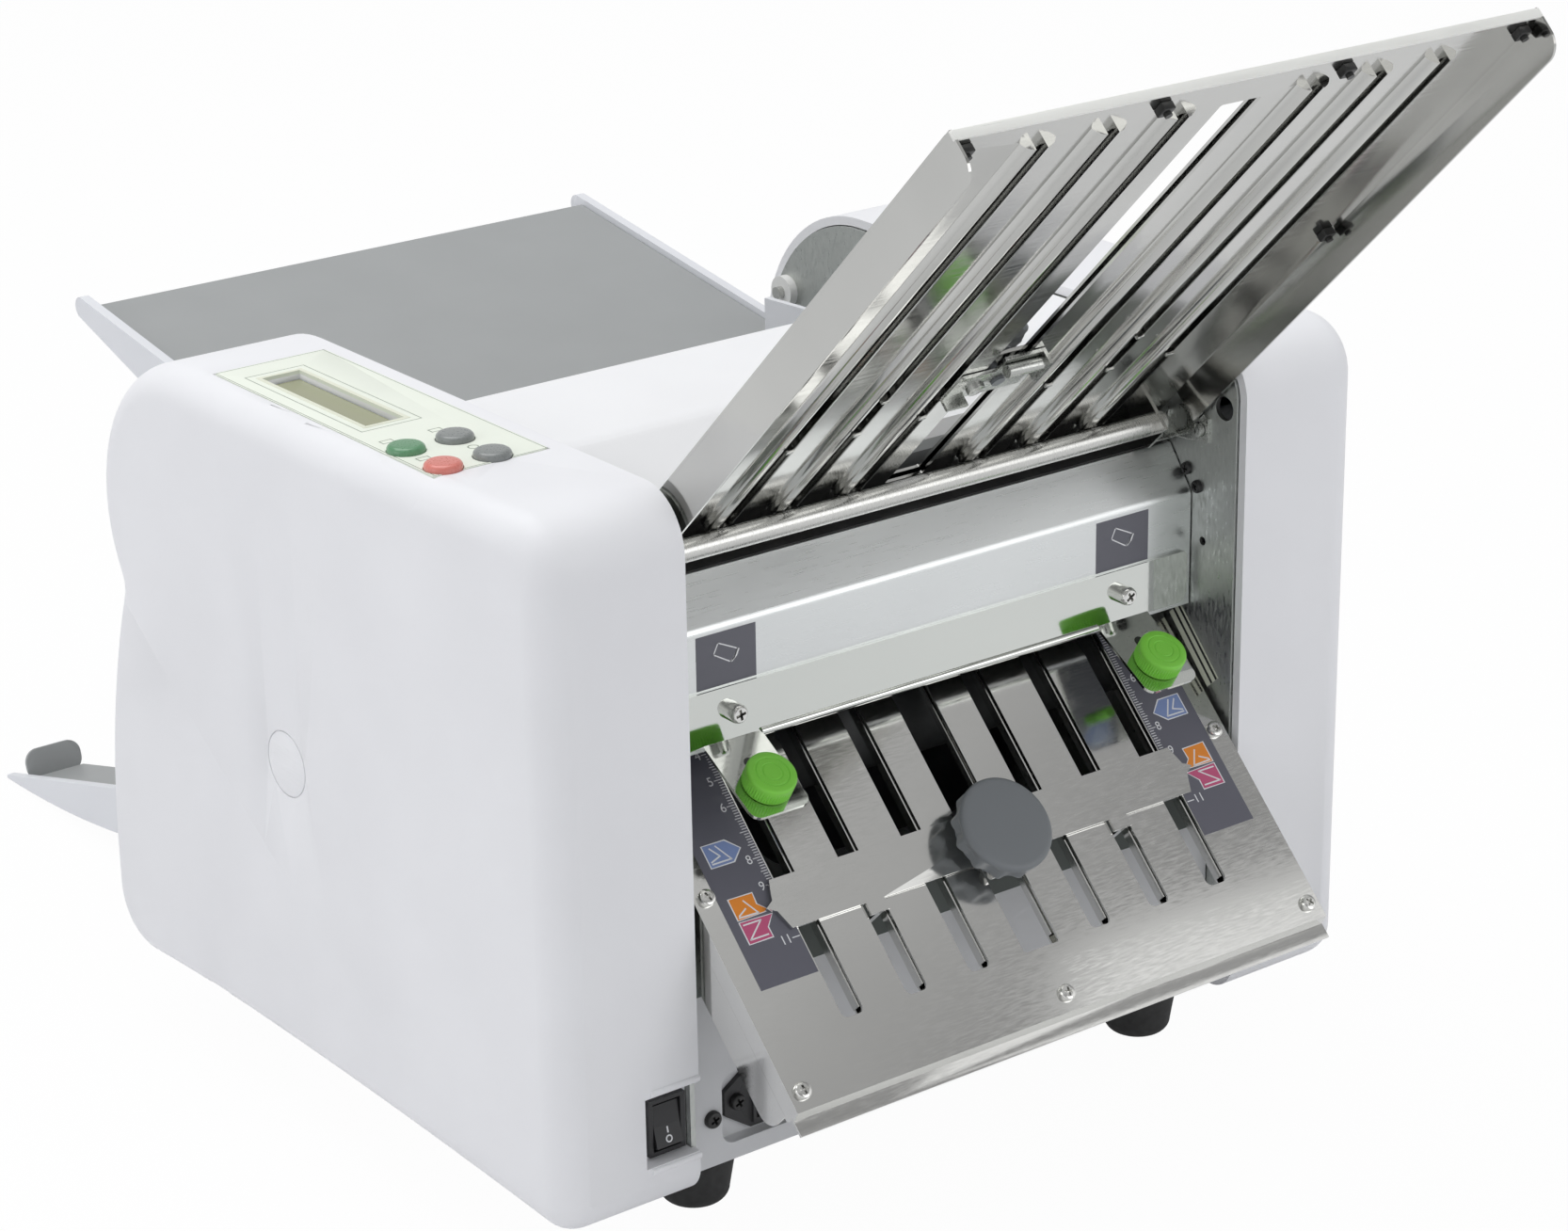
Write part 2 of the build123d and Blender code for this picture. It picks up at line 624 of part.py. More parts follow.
def paper_guide(sx):
    """Upright paper guide with a foot on the table and a clamp post through its slot."""
    top0, top1 = guide_top_front, guide_top_back
    lift = 0.2
    wall = yz([(guide_y0, table_top_z(guide_y0) + lift), (guide_y1, table_top_z(guide_y1) + lift),
               (guide_y1, top1), (guide_y0, top0)])
    guide = along_x(wall, guide_x, guide_x + guide_t)
    guide = fillet(guide.edges().filter_by(Axis.X).group_by(Axis.Z)[-1], 5.0)
    mid = (guide_y0 + guide_y1) / 2
    along = (mid - table_y) / cos(radians(table_angle))
    foot = block(guide_x, rail_in - 2 * slip, along - 20, along + 20, lift, lift + 2.2)
    post = Pos(guide_post_x, along, 0) * Cylinder(guide_slot_w / 2 - slip, 2 * table_t + 2.6)
    pad = Pos(guide_post_x, along, -table_t - slip - 1.0) * Cylinder(5.0, 2.0)
    guide += table_place * (foot + post + pad)
    return guide if sx > 0 else mirror(guide, about=Plane.YZ)


def separator_pad():
    low = tie_spots()[3][1] + tie_r + running
    y0, y1 = feed_y - 11.0, feed_y + 11.0
    lift = 0.6
    face = yz([(y0, low), (y1, low), (y1, table_top_z(y1) + lift), (y0, table_top_z(y0) + lift)])
    return along_x(face, -12.0, 12.0)


# ---------------------------------------------------------------- delivery
def chute_line():
    (y, z), _ = rollers["exit_roller"]
    start = beside((y, z), 23, roller_r + 3.0)
    return start, (tray_front_y + 6.0, tray_front_z - 4.0)


def delivery_chute():
    a, b = chute_line()
    slope = (b[1] - a[1]) / (b[0] - a[0])
    (ry, rz), _ = rollers["exit_roller"]
    lip = beside((ry, rz), -12, roller_r + 3.0)
    face = yz([lip, a, b, (b[0], b[1] - chute_t), (a[0] + 0.7, a[1] - chute_t - 0.3),
               (lip[0] + chute_t, lip[1] - 0.3)])
    chute = along_x(face, -chute_half, chute_half)
    for sx in (-1, 1):
        x0, x1 = sorted((sx * chute_half, sx * (frame_in - slip)))
        y0, y1 = a[0] + 10, chute_flange_end
        z0, z1 = a[1] + slope * 10, b[1] + slope * (chute_flange_end - b[0])
        chute += along_x(yz([(y0, z0 + 9), (y1, z1 + 9), (y1, z1 - chute_t), (y0, z0 - chute_t)]), x0, x1)
    return chute


tray_place = Location((0, tray_front_y, tray_front_z), (-tray_angle, 0, 0))


def tray_z(y):
    return tray_front_z - (y - tray_front_y) * tan(radians(tray_angle))


def delivery_tray():
    """White side walls of the tray, curved underneath, tapering to the tips."""
    tip_y = tray_front_y + tray_l * cos(radians(tray_angle)) + 2.0
    low = 0.8
    front = chute_flange_end + 2.0
    over = tray_rail_over

    def under(y):
        return low + (tip_y - y) ** 2 / (2 * tray_under_r)

    mid = (tip_y + front) / 2
    start = (front, under(front))
    face = make_face([ThreePointArc(start, (mid, under(mid)), (tip_y, low)),
                      Line((tip_y, low), (tip_y, low + 1.6)),
                      Line((tip_y, low + 1.6), (front, tray_z(front) + over)),
                      Line((front, tray_z(front) + over), start)])
    wall = along_x(Plane.YZ * face, rail_in, rail_out)
    return both(wall)


def delivery_tray_plate():
    """Grey tray floor, cut out between two prongs whose ends curl up as paper stops."""
    half = rail_in - slip
    floor = block(-half, half, 4.0, tray_l - 12, -table_t, 0)
    cut_w = 2 * (half - prong_w)
    cut = block(-cut_w / 2, cut_w / 2, tray_l - prong_depth, tray_l + 20, -5, 5)
    cut = fillet(cut.edges().filter_by(Axis.Z).group_by(Axis.Y)[0], 30.0)
    floor -= cut
    tab = Plane.XZ * (Pos(half - prong_w / 2, tab_h / 2 - 1) * RectangleRounded(prong_w, tab_h + 2, 6.0))
    tab = Pos(0, tray_l - 12 + table_t, 0) * extrude(tab, table_t)
    bar = block(-half, half, 8.0, 20.0, -table_t - 6.0, -table_t)
    return tray_place * (floor + tab + mirror(tab, about=Plane.YZ) + bar)


# ---------------------------------------------------------------- fold plates
# in the plate's own frame x runs across, y inward to the rollers and z out of the cover sheet
lower_base = (0, lower_face / -2 + 63.65, lower_face / 2 + 63.65)
lower_place = Location((0, lower_base[1], lower_base[2]), (45, 0, 0))
upper_base_y = 42.0 + s45 * -back_face
upper_base_z = upper_face - 42.0 + s45 * -back_face
upper_place = Location((0, upper_base_y, upper_base_z), (-45, 0, 0))


def slot_xs():
    return [sx * n * slot_pitch for n in range(1, slots_each_side + 1) for sx in (-1, 1)]


def slot_cut(x, w, out, inn, r):
    """Slot with rounded corners; out and inn count outward along the plate."""
    shape = Pos(x, -(out + inn) / 2) * RectangleRounded(w, abs(out - inn), r)
    return Pos(0, 0, -20) * extrude(shape, 40)


def plate_screws_at(outer, upper):
    if upper:
        return [(sx * x, out) for sx in (-1, 1) for x, out in ((37.0, outer - 6.0), (113.0, outer - 6.0),
                                                               (113.0, 122.0))]
    end = lower_outer - 6.5
    return [(-114.0, -2.8), (114.0, -2.8), (-113.8, end), (113.8, end), (0.0, end)]


def cover_sheet(outer, inner, slot_out, slot_in):
    """Outer sheet of the lower plate: slots, folded sides and a stepped lip along its outer end."""
    sheet = block(-plate_half, plate_half, -outer, -inner, -sheet_t, 0)
    for sx in (-1, 1):
        x0, x1 = sorted((sx * plate_half, sx * (plate_half - sheet_t)))
        sheet += block(x0, x1, -outer, -inner, -4.0, 0)
    step = yz([(-outer + sheet_t, 0), (-outer, 0), (-outer - 1.2, -lip_step), (-outer - 1.2 - lip_w, -lip_step),
               (-outer - 1.2 - lip_w, -lip_step - sheet_t), (-outer - 0.2, -lip_step - sheet_t),
               (-outer + sheet_t, -sheet_t)])
    sheet += along_x(step, -plate_half, plate_half)
    for x in slot_xs():
        sheet -= slot_cut(x, cover_slot_w, slot_out, slot_in, cover_slot_r)
    sheet -= slot_cut(0, centre_slot_w, slot_out, slot_in, 1.5)
    for x, out in plate_screws_at(outer, False):
        sheet -= Pos(x, -out, 0) * Cylinder(screw_r + running, 10)
    return sheet


def rib(face_z, side, out, inn):
    """Raised half-round lip along one long edge of a finger slot; side is +1 above or -1 below."""
    h = side * rib_h
    w0, w1 = finger_slot_w / 2, finger_slot_w / 2 + rib_w
    prof = make_face([Line((w0, face_z), (w0, face_z + h)),
                      ThreePointArc((w0, face_z + h), (w0 + rib_w * 0.55, face_z + h * 0.72), (w1, face_z)),
                      Line((w1, face_z), (w0, face_z))])
    return Pos(0, -inn, 0) * extrude(Plane.XZ * prof, out - inn)


def channel_sheet(face_z, side, outer, inner, slot_out, slot_in, upper):
    """Sheet beside the paper gap, with a ribbed slot for each stop finger."""
    z0, z1 = (face_z - sheet_t, face_z) if side > 0 else (face_z, face_z + sheet_t)
    half = plate_half if side < 0 or upper else plate_half - sheet_t - slip
    sheet = block(-half, half, -outer, -inner, z0, z1)
    if side < 0 or not upper:
        ribs = rib(face_z, side, slot_out + 3, slot_in - 3)
        pair = ribs + mirror(ribs, about=Plane.YZ)
        for x in slot_xs():
            sheet += Pos(x, 0, 0) * pair
    for x in slot_xs():
        sheet -= slot_cut(x, finger_slot_w, slot_out, slot_in, 1.0)
    sheet -= slot_cut(0, 2 * knob_shank_r + 0.6, slot_out, slot_in, 1.0)
    for x, out in plate_screws_at(outer, upper):
        if side < 0:
            sheet += Pos(x, -out, z1 + paper_gap / 2) * Cylinder(3.2, paper_gap)
        elif not upper:
            sheet += Pos(x, -out, (channel_top - sheet_t) / 2) * Cylinder(3.2, -channel_top - sheet_t)
    for x, out in plate_screws_at(outer, upper):
        sheet -= Pos(x, -out, -5) * Cylinder(screw_r + running, 30)
    return sheet


def side_flanges(outer, inner):
    """Folded sides of the back channel sheet, rounded at their outer ends."""
    half = plate_half
    side = block(half - sheet_t, half, -outer, -inner, back_face - flange_depth, back_face + sheet_t)
    corner = side.edges().filter_by(Axis.X).group_by(Axis.Y)[0].group_by(Axis.Z)[0]
    side = fillet(corner, flange_r)
    return side + mirror(side, about=Plane.YZ)


def lower_plate_cover():
    return lower_place * cover_sheet(lower_outer, lower_inner, lower_slot_end, lower_slot_start)


def lower_plate_front():
    return lower_place * channel_sheet(channel_top, 1, lower_outer - 2.0, lower_channel_inner,
                                       lower_slot_end, lower_slot_start, False)


def lower_plate_back():
    sheet = channel_sheet(back_face, -1, lower_outer - 2.0, lower_channel_inner, lower_slot_end,
                          lower_slot_start, False)
    return lower_place * (sheet + side_flanges(lower_outer - 2.0, -40.0))


def upper_plate_front():
    sheet = channel_sheet(channel_top, 1, upper_outer, upper_channel_inner,
                          upper_slot_end, upper_slot_start, True)
    return upper_place * (sheet - block(-130, 130, -upper_outer - 1, -upper_outer + 3.0, -10, 0))


def upper_plate_back():
    sheet = channel_sheet(back_face, -1, upper_outer, upper_channel_inner, upper_slot_end,
                          upper_slot_start, True)
    sheet += block(-plate_half, plate_half, -upper_outer, -upper_outer + sheet_t, back_face,
                   back_face + upper_rim)
    plate = upper_place * (sheet + side_flanges(upper_outer, 14.0))
    plate -= rod_x(rod_y, rod_z, rod_r + slip, -rod_half, rod_half)
    along = (42.0 - rod_y) * s45 + (rod_z - upper_face + 42.0) * s45
    away = (42.0 - rod_y) * s45 - (rod_z - upper_face + 42.0) * s45
    lug = block(106.0, 107.5, -along - 6.5, -along + 6.5, back_face - away - 6.0, back_face + 0.5)
    lug -= rod_x(-along, back_face - away, rod_r, 100, 115)
    return plate + upper_place * lug + upper_place * mirror(lug, about=Plane.YZ)


def cross_rod():
    return chamfer(rod_x(rod_y, rod_z, rod_r, -rod_half, rod_half).edges().filter_by(GeomType.CIRCLE), 0.6)


def plate_hooks():
    """Bent brackets on the side frames that carry the ends of the upper plate's cross rod."""
    reach = rod_r + slip
    py, pz = rod_y + reach * s45, rod_z - reach * s45
    half = hook_lip / 2
    a, b = (py + half * s45, pz + half * s45), (py - half * s45, pz - half * s45)
    off = hook_t * s45
    lip = along_x(yz([a, b, (b[0] + off, b[1] - off), (a[0] + off, a[1] - off)]), rod_half - 3.5, frame_in)
    tab = yz([(a[0] + off, a[1] - off), (b[0] + off, b[1] - off), (rod_y - 16, rod_z - 6), (rod_y - 16, rod_z + 3),
              (rod_y - 8, rod_z + 8), (a[0] - 6, a[1] + 4)])
    tab = along_x(tab, frame_in - hook_t, frame_in)
    tab -= rod_x(rod_y, rod_z, rod_r + 1.0, frame_in - 5, frame_in + 1)
    screw = rod_x(rod_y - 12, rod_z - 1.5, 2.6, frame_in - hook_t - 1.8, frame_in - hook_t)
    return both(lip + tab) + both(screw)


def plate_screw(head_z, tip_z, x, out, head_h, nut_h):
    """Screw through a fold plate with a square nut on the inner side."""
    screw = Pos(x, -out, (head_z + tip_z) / 2) * Cylinder(screw_r, head_z - tip_z)
    head = Pos(x, -out, head_z + head_h / 2) * Cylinder(screw_head_r, head_h)
    head = fillet(head.edges().group_by(Axis.Z)[-1], 0.6 * head_h)
    return screw + head + Pos(x, -out, back_face - nut_h / 2) * Box(6.0, 6.0, nut_h)


def plate_screws():
    """Lower plate: pan heads outside. Upper plate: low heads outside, tall square nuts inside."""
    out = [lower_place * plate_screw(0, back_face - 3.0, x, at, screw_head_h, 2.6)
           for x, at in plate_screws_at(lower_outer, False)]
    return out + [upper_place * plate_screw(channel_top, back_face - 6.0, x, at, 0.6, 4.6)
                  for x, at in plate_screws_at(upper_outer, True)]


# ---------------------------------------------------------------- stop bars and knobs
def stop_bar(at, ride):
    """Cross bar on the outer face at height ride, with fingers that reach through the slots."""
    half = bar_w / 2
    outline = [(-bar_half, half), (bar_half, half), (bar_half + 1.5, half - 4), (bar_half + 2.5, 2.0),
               (bar_half + pointer_l, 0), (bar_half + 2.5, -2.0), (bar_half, -half), (-bar_half, -half),
               (-bar_half - 2.5, -2.0), (-bar_half - pointer_l, 0), (-bar_half - 2.5, 2.0),
               (-bar_half - 1.5, half - 4)]
    plate = extrude(make_face(Polyline(*outline, close=True)), bar_t)
    plate = Pos(0, 0, slip) * plate
    reach = -finger_reach - ride
    for x in slot_xs():
        plate += block(x - finger_w / 2, x + finger_w / 2, half - finger_t, half, reach, bar_t + slip)
    for x in (-2 * slot_pitch, 2 * slot_pitch):
        plate += block(x - 3.9, x + 3.9, -half - tab_out, -half + 1, slip, slip + bar_t)
        plate += block(x - finger_w / 2, x + finger_w / 2, -half - tab_out, -half - tab_out + finger_t,
                       reach, bar_t)
    if ride == 0:
        grip = block(-7.5, 7.5, -half - 4.5, -half + 1, slip, slip + bar_t)
        roll = Pos(0, -half - 4.5, slip + 2.2) * Rot(0, 90, 0) * Cylinder(2.2, 15.0)
        plate += grip + roll
    plate -= Pos(0, -2.0, 0) * Cylinder(knob_shank_r + running, 20)
    return Pos(0, -at, ride) * plate


def stop_knob(at, ride, shank_end):
    """Fluted clamp knob with a neck and a shank through the plate's centre slot."""
    base = slip + bar_t + 0.1
    low = base + knob_neck_h
    knob = Pos(0, 0, low + (knob_h - knob_neck_h) / 2) * Cylinder(knob_r, knob_h - knob_neck_h)
    knob = fillet(knob.edges().filter_by(GeomType.CIRCLE).group_by(Axis.Z)[-1], 1.2)
    for n in range(knob_flutes):
        spot = beside((0, 0), n * 360 / knob_flutes, knob_r + 1.9)
        knob -= Pos(spot[0], spot[1], base + knob_h / 2 - 2.5) * Cylinder(3.4, knob_h)
    knob += Pos(0, 0, base + knob_neck_h / 2) * Cylinder(knob_neck_r, knob_neck_h)
    knob += Pos(0, 0, (base + shank_end - ride) / 2) * Cylinder(knob_shank_r, base - shank_end + ride)
    if ride == 0:
        knob += Pos(0, 0, -sheet_t - slip - 0.8) * Cylinder(10.5, 1.6)
    return Pos(0, -at - 2.0, ride) * knob


def upper_clamp(at):
    """Clamp bracket on the inner side of the upper plate, with its screw and a small guide roller."""
    top = back_face - slip
    plate = block(-20.0, 13.0, -7.0, 7.0, top - 1.2, top)
    plate += block(-20.0, -11.0, 5.8, 7.0, top - 5.0, top)
    plate = fillet(plate.edges().filter_by(Axis.Z).group_by(Axis.Y)[0], 3.0)
    plate += block(-4.5, 13.0, -14.0, -7.0 + eps, top - 1.2, top)
    plate += block(11.5, 13.0, -14.0, -2.0, top - 6.0, top)
    plate += Pos(-10.0, 0, top - 2.2) * Cylinder(3.2, 2.2)
    plate += Pos(4.3, -10.0, top - 3.4) * Rot(0, 90, 0) * Cylinder(2.2, 15.0)
    plate -= Pos(0, 0, top) * Cylinder(knob_shank_r + running, 8)
    return Pos(0, -at - 2.0, 0) * plate


# ---------------------------------------------------------------- deflector and retaining bar
def deflector_cover():
    """Bent sheet across the front between the two fold plates."""
    y0, t = deflector_y, deflector_t
    lean = sqrt((deflector_top_y - y0) ** 2 + (deflector_top_z - deflector_bend_z) ** 2)
    ny, nz = (deflector_top_z - deflector_bend_z) / lean * t, -(deflector_top_y - y0) / lean * t
    face = yz([(y0, deflector_bottom), (y0, deflector_bend_z), (deflector_top_y, deflector_top_z),
               (deflector_top_y + 9, deflector_top_z), (deflector_top_y + 9, deflector_top_z - t),
               (deflector_top_y + ny, deflector_top_z - t), (y0 + t, deflector_bend_z + nz + t),
               (y0 + t, deflector_bottom)])
    cover = along_x(face, -deflector_half, deflector_half)
    bend = edges_where(cover, lambda e: near(e.length, 2 * deflector_half)
                       and near(e.center().Z, deflector_bend_z, 0.1) and near(e.center().Y, y0, 0.1))
    cover = fillet(bend, 5.0)
    cheek = yz([(y0 + t, deflector_bottom + 3), (y0 + t, deflector_bend_z - 2),
                (deflector_top_y, deflector_top_z - 3), (deflector_top_y + 9, deflector_top_z - 3),
                (deflector_top_y + 9, deflector_bend_z), (y0 + 10, deflector_bottom + 3)])
    for part in both(along_x(cheek, deflector_half - t, deflector_half)):
        cover += part
    for x in (-tall_screw_x, tall_screw_x):
        cover -= Pos(x, y0, tall_screw_z) * Rot(90, 0, 0) * Cylinder(2.0, 10)
    return cover


def tongue_frame():
    return Location((0, deflector_y - retainer_t, retainer_bottom + 0.6), (tongue_angle, 0, 0))


def retaining_bar():
    """Polished bar over the deflector's foot with a rolled edge and two tongues for the thumbscrews."""
    y1 = deflector_y
    y0 = y1 - retainer_t
    bar = block(-retainer_half, retainer_half, y0, y1, retainer_bottom, retainer_top)
    ends = bar.edges().filter_by(Axis.Y).group_by(Axis.Z)
    bar = fillet(ends[0], 4.5)
    bar = fillet(bar.edges().filter_by(Axis.Y).group_by(Axis.Z)[-1], 2.0)
    roll_end = tongue_x - tongue_w / 2
    bar += rod_x(y0 + 0.4, retainer_bottom - 0.2, 1.6, -roll_end, roll_end) & block(-200, 200, y0 - 5, y1, 0, 400)
    tongue = block(tongue_x - tongue_w / 2, tongue_x + tongue_w / 2, -tongue_l, 0.6, -tongue_t, 0)
    tongue = fillet(tongue.edges().filter_by(Axis.Z).group_by(Axis.Y)[0], 4.0)
    tongue -= Pos(tongue_x, -thumb_along, 0) * Cylinder(2.0 + running, 10)
    for part in both(tongue):
        bar += tongue_frame() * part
    for x in (-tall_screw_x, tall_screw_x):
        bar -= Pos(x, y0, tall_screw_z) * Rot(90, 0, 0) * Cylinder(2.0, 10)
    return bar


def bar_screws():
    y0 = deflector_y - retainer_t
    head = Pos(0, y0 - tall_screw_h / 2, 0) * Rot(90, 0, 0) * Cylinder(tall_screw_r, tall_screw_h)
    head = fillet(head.edges().group_by(Axis.Y)[0], 1.0)
    shank = Pos(0, y0 + 3.0, 0) * Rot(90, 0, 0) * Cylinder(1.95, 6.0)
    nut = Pos(0, deflector_y + deflector_t + 1.3, 0) * Box(7, 2.6, 7)
    return [Pos(x, 0, tall_screw_z) * (head + shank + nut) for x in (-tall_screw_x, tall_screw_x)]


def thumbscrew(sx):
    """Knurled thumbscrew over its tongue."""
    knob = Pos(0, 0, slip + thumb_h / 2) * Cylinder(thumb_r, thumb_h)
    knob = fillet(knob.edges().filter_by(GeomType.CIRCLE).group_by(Axis.Z)[-1], 0.8)
    for n in range(thumb_knurls):
        spot = beside((0, 0), n * 360 / thumb_knurls, thumb_r + 0.35)
        knob -= Pos(spot[0], spot[1], slip + thumb_h / 2) * Rot(0, 0, n * 360 / thumb_knurls) \
            * Box(1.5, 0.9, thumb_h + 1)
    knob += Pos(0, 0, slip / 2 - 4.0) * Cylinder(2.0, 8.0 + slip)
    return tongue_frame() * Pos(sx * tongue_x, -thumb_along, 0) * knob


# ---------------------------------------------------------------- top cover
def top_cover():
    """White lid over the rollers, hinged on two pins in the side frames."""
    slope = (lid_top_z - lid_front_z) / (lid_bend_y - lid_front_y)
    face = yz([(lid_front_y, lid_front_z), (lid_bend_y, lid_top_z), (lid_back_y, lid_top_z),
               (lid_back_y, lid_top_z - lid_skirt), (lid_back_y - lid_t, lid_top_z - lid_skirt),
               (lid_back_y - lid_t, lid_top_z - lid_t), (lid_bend_y + 1.0, lid_top_z - lid_t),
               (lid_front_y + lid_t, lid_front_z - lid_t * 0.5), (lid_front_y + lid_t, lid_front_z - 6),
               (lid_front_y, lid_front_z - 6)])
    lid = along_x(face, -lid_half, lid_half)
    bend = edges_where(lid, lambda e: near(e.length, 2 * lid_half) and near(e.center().Z, lid_top_z)
                       and e.center().Y < lid_back_y - 1)
    lid = fillet(bend, 12.0)
    back = edges_where(lid, lambda e: near(e.length, 2 * lid_half) and near(e.center().Z, lid_top_z)
                       and near(e.center().Y, lid_back_y))
    lid = fillet(back, 2.0)
    skirt = yz([(lid_front_y, lid_front_z - 0.5), (lid_bend_y, lid_top_z - 1.5),
                (lid_back_y - 1, lid_top_z - 1.5), (lid_back_y - 1, lid_top_z - lid_skirt - 2),
                (lid_bend_y, lid_top_z - lid_skirt - 2), (lid_front_y, lid_front_z - 6)])
    for part in both(along_x(skirt, lid_half - lid_t, lid_half)
                     + rod_x(lid_pin_y, lid_pin_z, lid_pin_r, lid_half - lid_t, frame_out + 1.5)):
        lid += part
    return lid


# ---------------------------------------------------------------- controls
def control_panel():
    z0, z1 = cover_top - panel_sink, cover_top + panel_proud
    panel = block(panel_x0, panel_x1, panel_y0, panel_y1, z0, z1)
    panel = fillet(panel.edges().filter_by(Axis.Z), 2.0)
    panel -= block(lcd_x0, lcd_x1, lcd_y0, lcd_y1, z0 - 1, z1 + 1)
    for x, y in button_spots.values():
        panel -= Pos(x, y, z0) * Cylinder(button_r + slip, 10)
    return panel


def display_module():
    """Circuit board under the panel, carrying the display."""
    z1 = cover_top - cover_wall
    board = block(panel_x0, panel_x0 + 37, panel_y0 - 6, panel_y1 - 8, board_z, board_z + 1.6)
    board += block(lcd_x0 - 3, lcd_x1 + 3, lcd_y0 - 4, lcd_y1 + 4, board_z, z1)
    board += block(lcd_x0 + slip, lcd_x1 - slip, lcd_y0 + slip, lcd_y1 - slip, board_z, z1 + 0.5)
    return board


def push_button(name):
    """Domed key with a flange that holds it under the cover."""
    x, y = button_spots[name]
    top = cover_top + panel_proud + 2.4
    under = cover_top - cover_wall
    key = Pos(0, 0, (under - 2.5 + top) / 2) * Cylinder(button_r, top - under + 2.5)
    key = fillet(key.edges().filter_by(GeomType.CIRCLE).group_by(Axis.Z)[-1], 1.8)
    key += Pos(0, 0, under - slip - 1.0 - 0.75) * Cylinder(button_flange_r, 1.5)
    key += Pos(0, 0, (under - 2.5 + board_z + 1.6 + button_travel + 0.4) / 2) \
        * Cylinder(2.5, under - 2.5 - board_z - 1.6 - button_travel - 0.4 + 0.2)
    return Pos(x, y, 0) * key


def switch_body():
    w, h, y = switch_w, switch_h, switch_y
    body = block(-w / 2, w / 2, y - 0.9, y + 1.3, -h / 2, h / 2)
    body += block(-w / 2 + 1.3, w / 2 - 1.3, y, y + 18, -h / 2 + 1.3, h / 2 - 1.3)
    body -= block(-rocker_w / 2 - slip, rocker_w / 2 + slip, y - 3, y + 9, -rocker_h / 2 - 0.6, rocker_h / 2 + 0.6)
    body -= rod_x(y + 3.5, 0, 1.0 + running, -rocker_w / 2 - 1.2, rocker_w / 2 + 1.2)
    return Pos(switch_x, 0, switch_z) * body


def rocker():
    """Rocker of the mains switch, its upper half pressed in at rest."""
    y = switch_y
    half = rocker_h / 2
    face = yz([(y + 0.4, half - 0.6), (y - 0.6, 0), (y - 2.6, -half + 1.1), (y + 0.5, -half + 0.2),
               (y + 6.5, -2.6), (y + 6.5, 2.6), (y + 3.6, half - 0.6)])
    key = along_x(face, -rocker_w / 2, rocker_w / 2)
    key += rod_x(y + 3.5, 0, 1.0, -rocker_w / 2 - 1.0, rocker_w / 2 + 1.0)
    return Pos(switch_x, 0, switch_z) * key


def inlet_socket():
    """Appliance inlet with a screw flange."""
    y = pan_front_y + pocket_deep
    flange = Plane.XZ * make_face(Polyline((-25, -4.5), (-25, 4.5), (-14, 12.0), (14, 12.0), (25, 4.5), (25, -4.5),
                                           (14, -12.0), (-14, -12.0), close=True))
    body = Pos(0, y, 0) * extrude(flange, 2.0)
    body += block(-13.7, 13.7, y - 3.5, y + 20, -10.2, 10.2)
    body -= block(-12.2, 12.2, y - 5, y + 12, -8.4, 8.4)
    for x in (-4.6, 0, 4.6):
        body += block(x - 1, x + 1, y - 1, y + 13, -2.0, 2.0)
    for x in (-20, 20):
        body -= Pos(x, y, 0) * Rot(90, 0, 0) * Cylinder(1.7, 10)
    return Pos(inlet_x, 0, inlet_z) * body


def base_screws():
    """Black pan-head screws: two in the inlet flange, one in the base."""
    out = []
    y = pan_front_y + pocket_deep
    for x, z, seat in ((inlet_x - 20, inlet_z, y - 2.0), (inlet_x + 20, inlet_z, y - 2.0),
                       (-107.0, 38.5, pan_front_y)):
        head = Pos(x, seat - 1.1, z) * Rot(90, 0, 0) * Cylinder(3.2 if seat < y - 2.5 else 2.9, 2.2)
        head = fillet(head.edges().group_by(Axis.Y)[0], 1.2)
        out.append(head)
    return out


# ---------------------------------------------------------------- motor
def motor():
    body = rod_x(motor_y, motor_z, motor_r, motor_x0, motor_x1)
    body = fillet(body.edges().filter_by(GeomType.CIRCLE).group_by(Axis.X)[0], 4.0)
    flange = Pos(frame_in - (frame_in - motor_x1) / 2, motor_y, motor_z) * Box(frame_in - motor_x1, 50.0, 50.0)
    flange = fillet(flange.edges().filter_by(Axis.X), 6.0)
    return body + flange - rod_x(motor_y, motor_z, motor_shaft_r + running, motor_x1 - 20, frame_in + 1)


def motor_shaft():
    shaft = rod_x(motor_y, motor_z, motor_shaft_r, motor_x1 - 19, belt_x + belt_w + 3)
    return shaft + pulley(motor_y, motor_z, motor_pulley_r, belt_x, motor_shaft_r - 1)


def drive_pulley():
    y, z = centre_roller
    return pulley(y, z, drive_pulley_r, belt_x, journal_r)


def feed_drive_pulley():
    (y, z), _ = rollers["feed_nip_roller"]
    return pulley(y, z, feed_pulley_r, feed_belt_x, journal_r)


def belts():
    return [belt(centre_roller, drive_pulley_r, (motor_y, motor_z), motor_pulley_r, belt_x),
            belt(rollers["feed_nip_roller"][0], feed_pulley_r, (feed_y, feed_z), feed_pulley_r, feed_belt_x)]


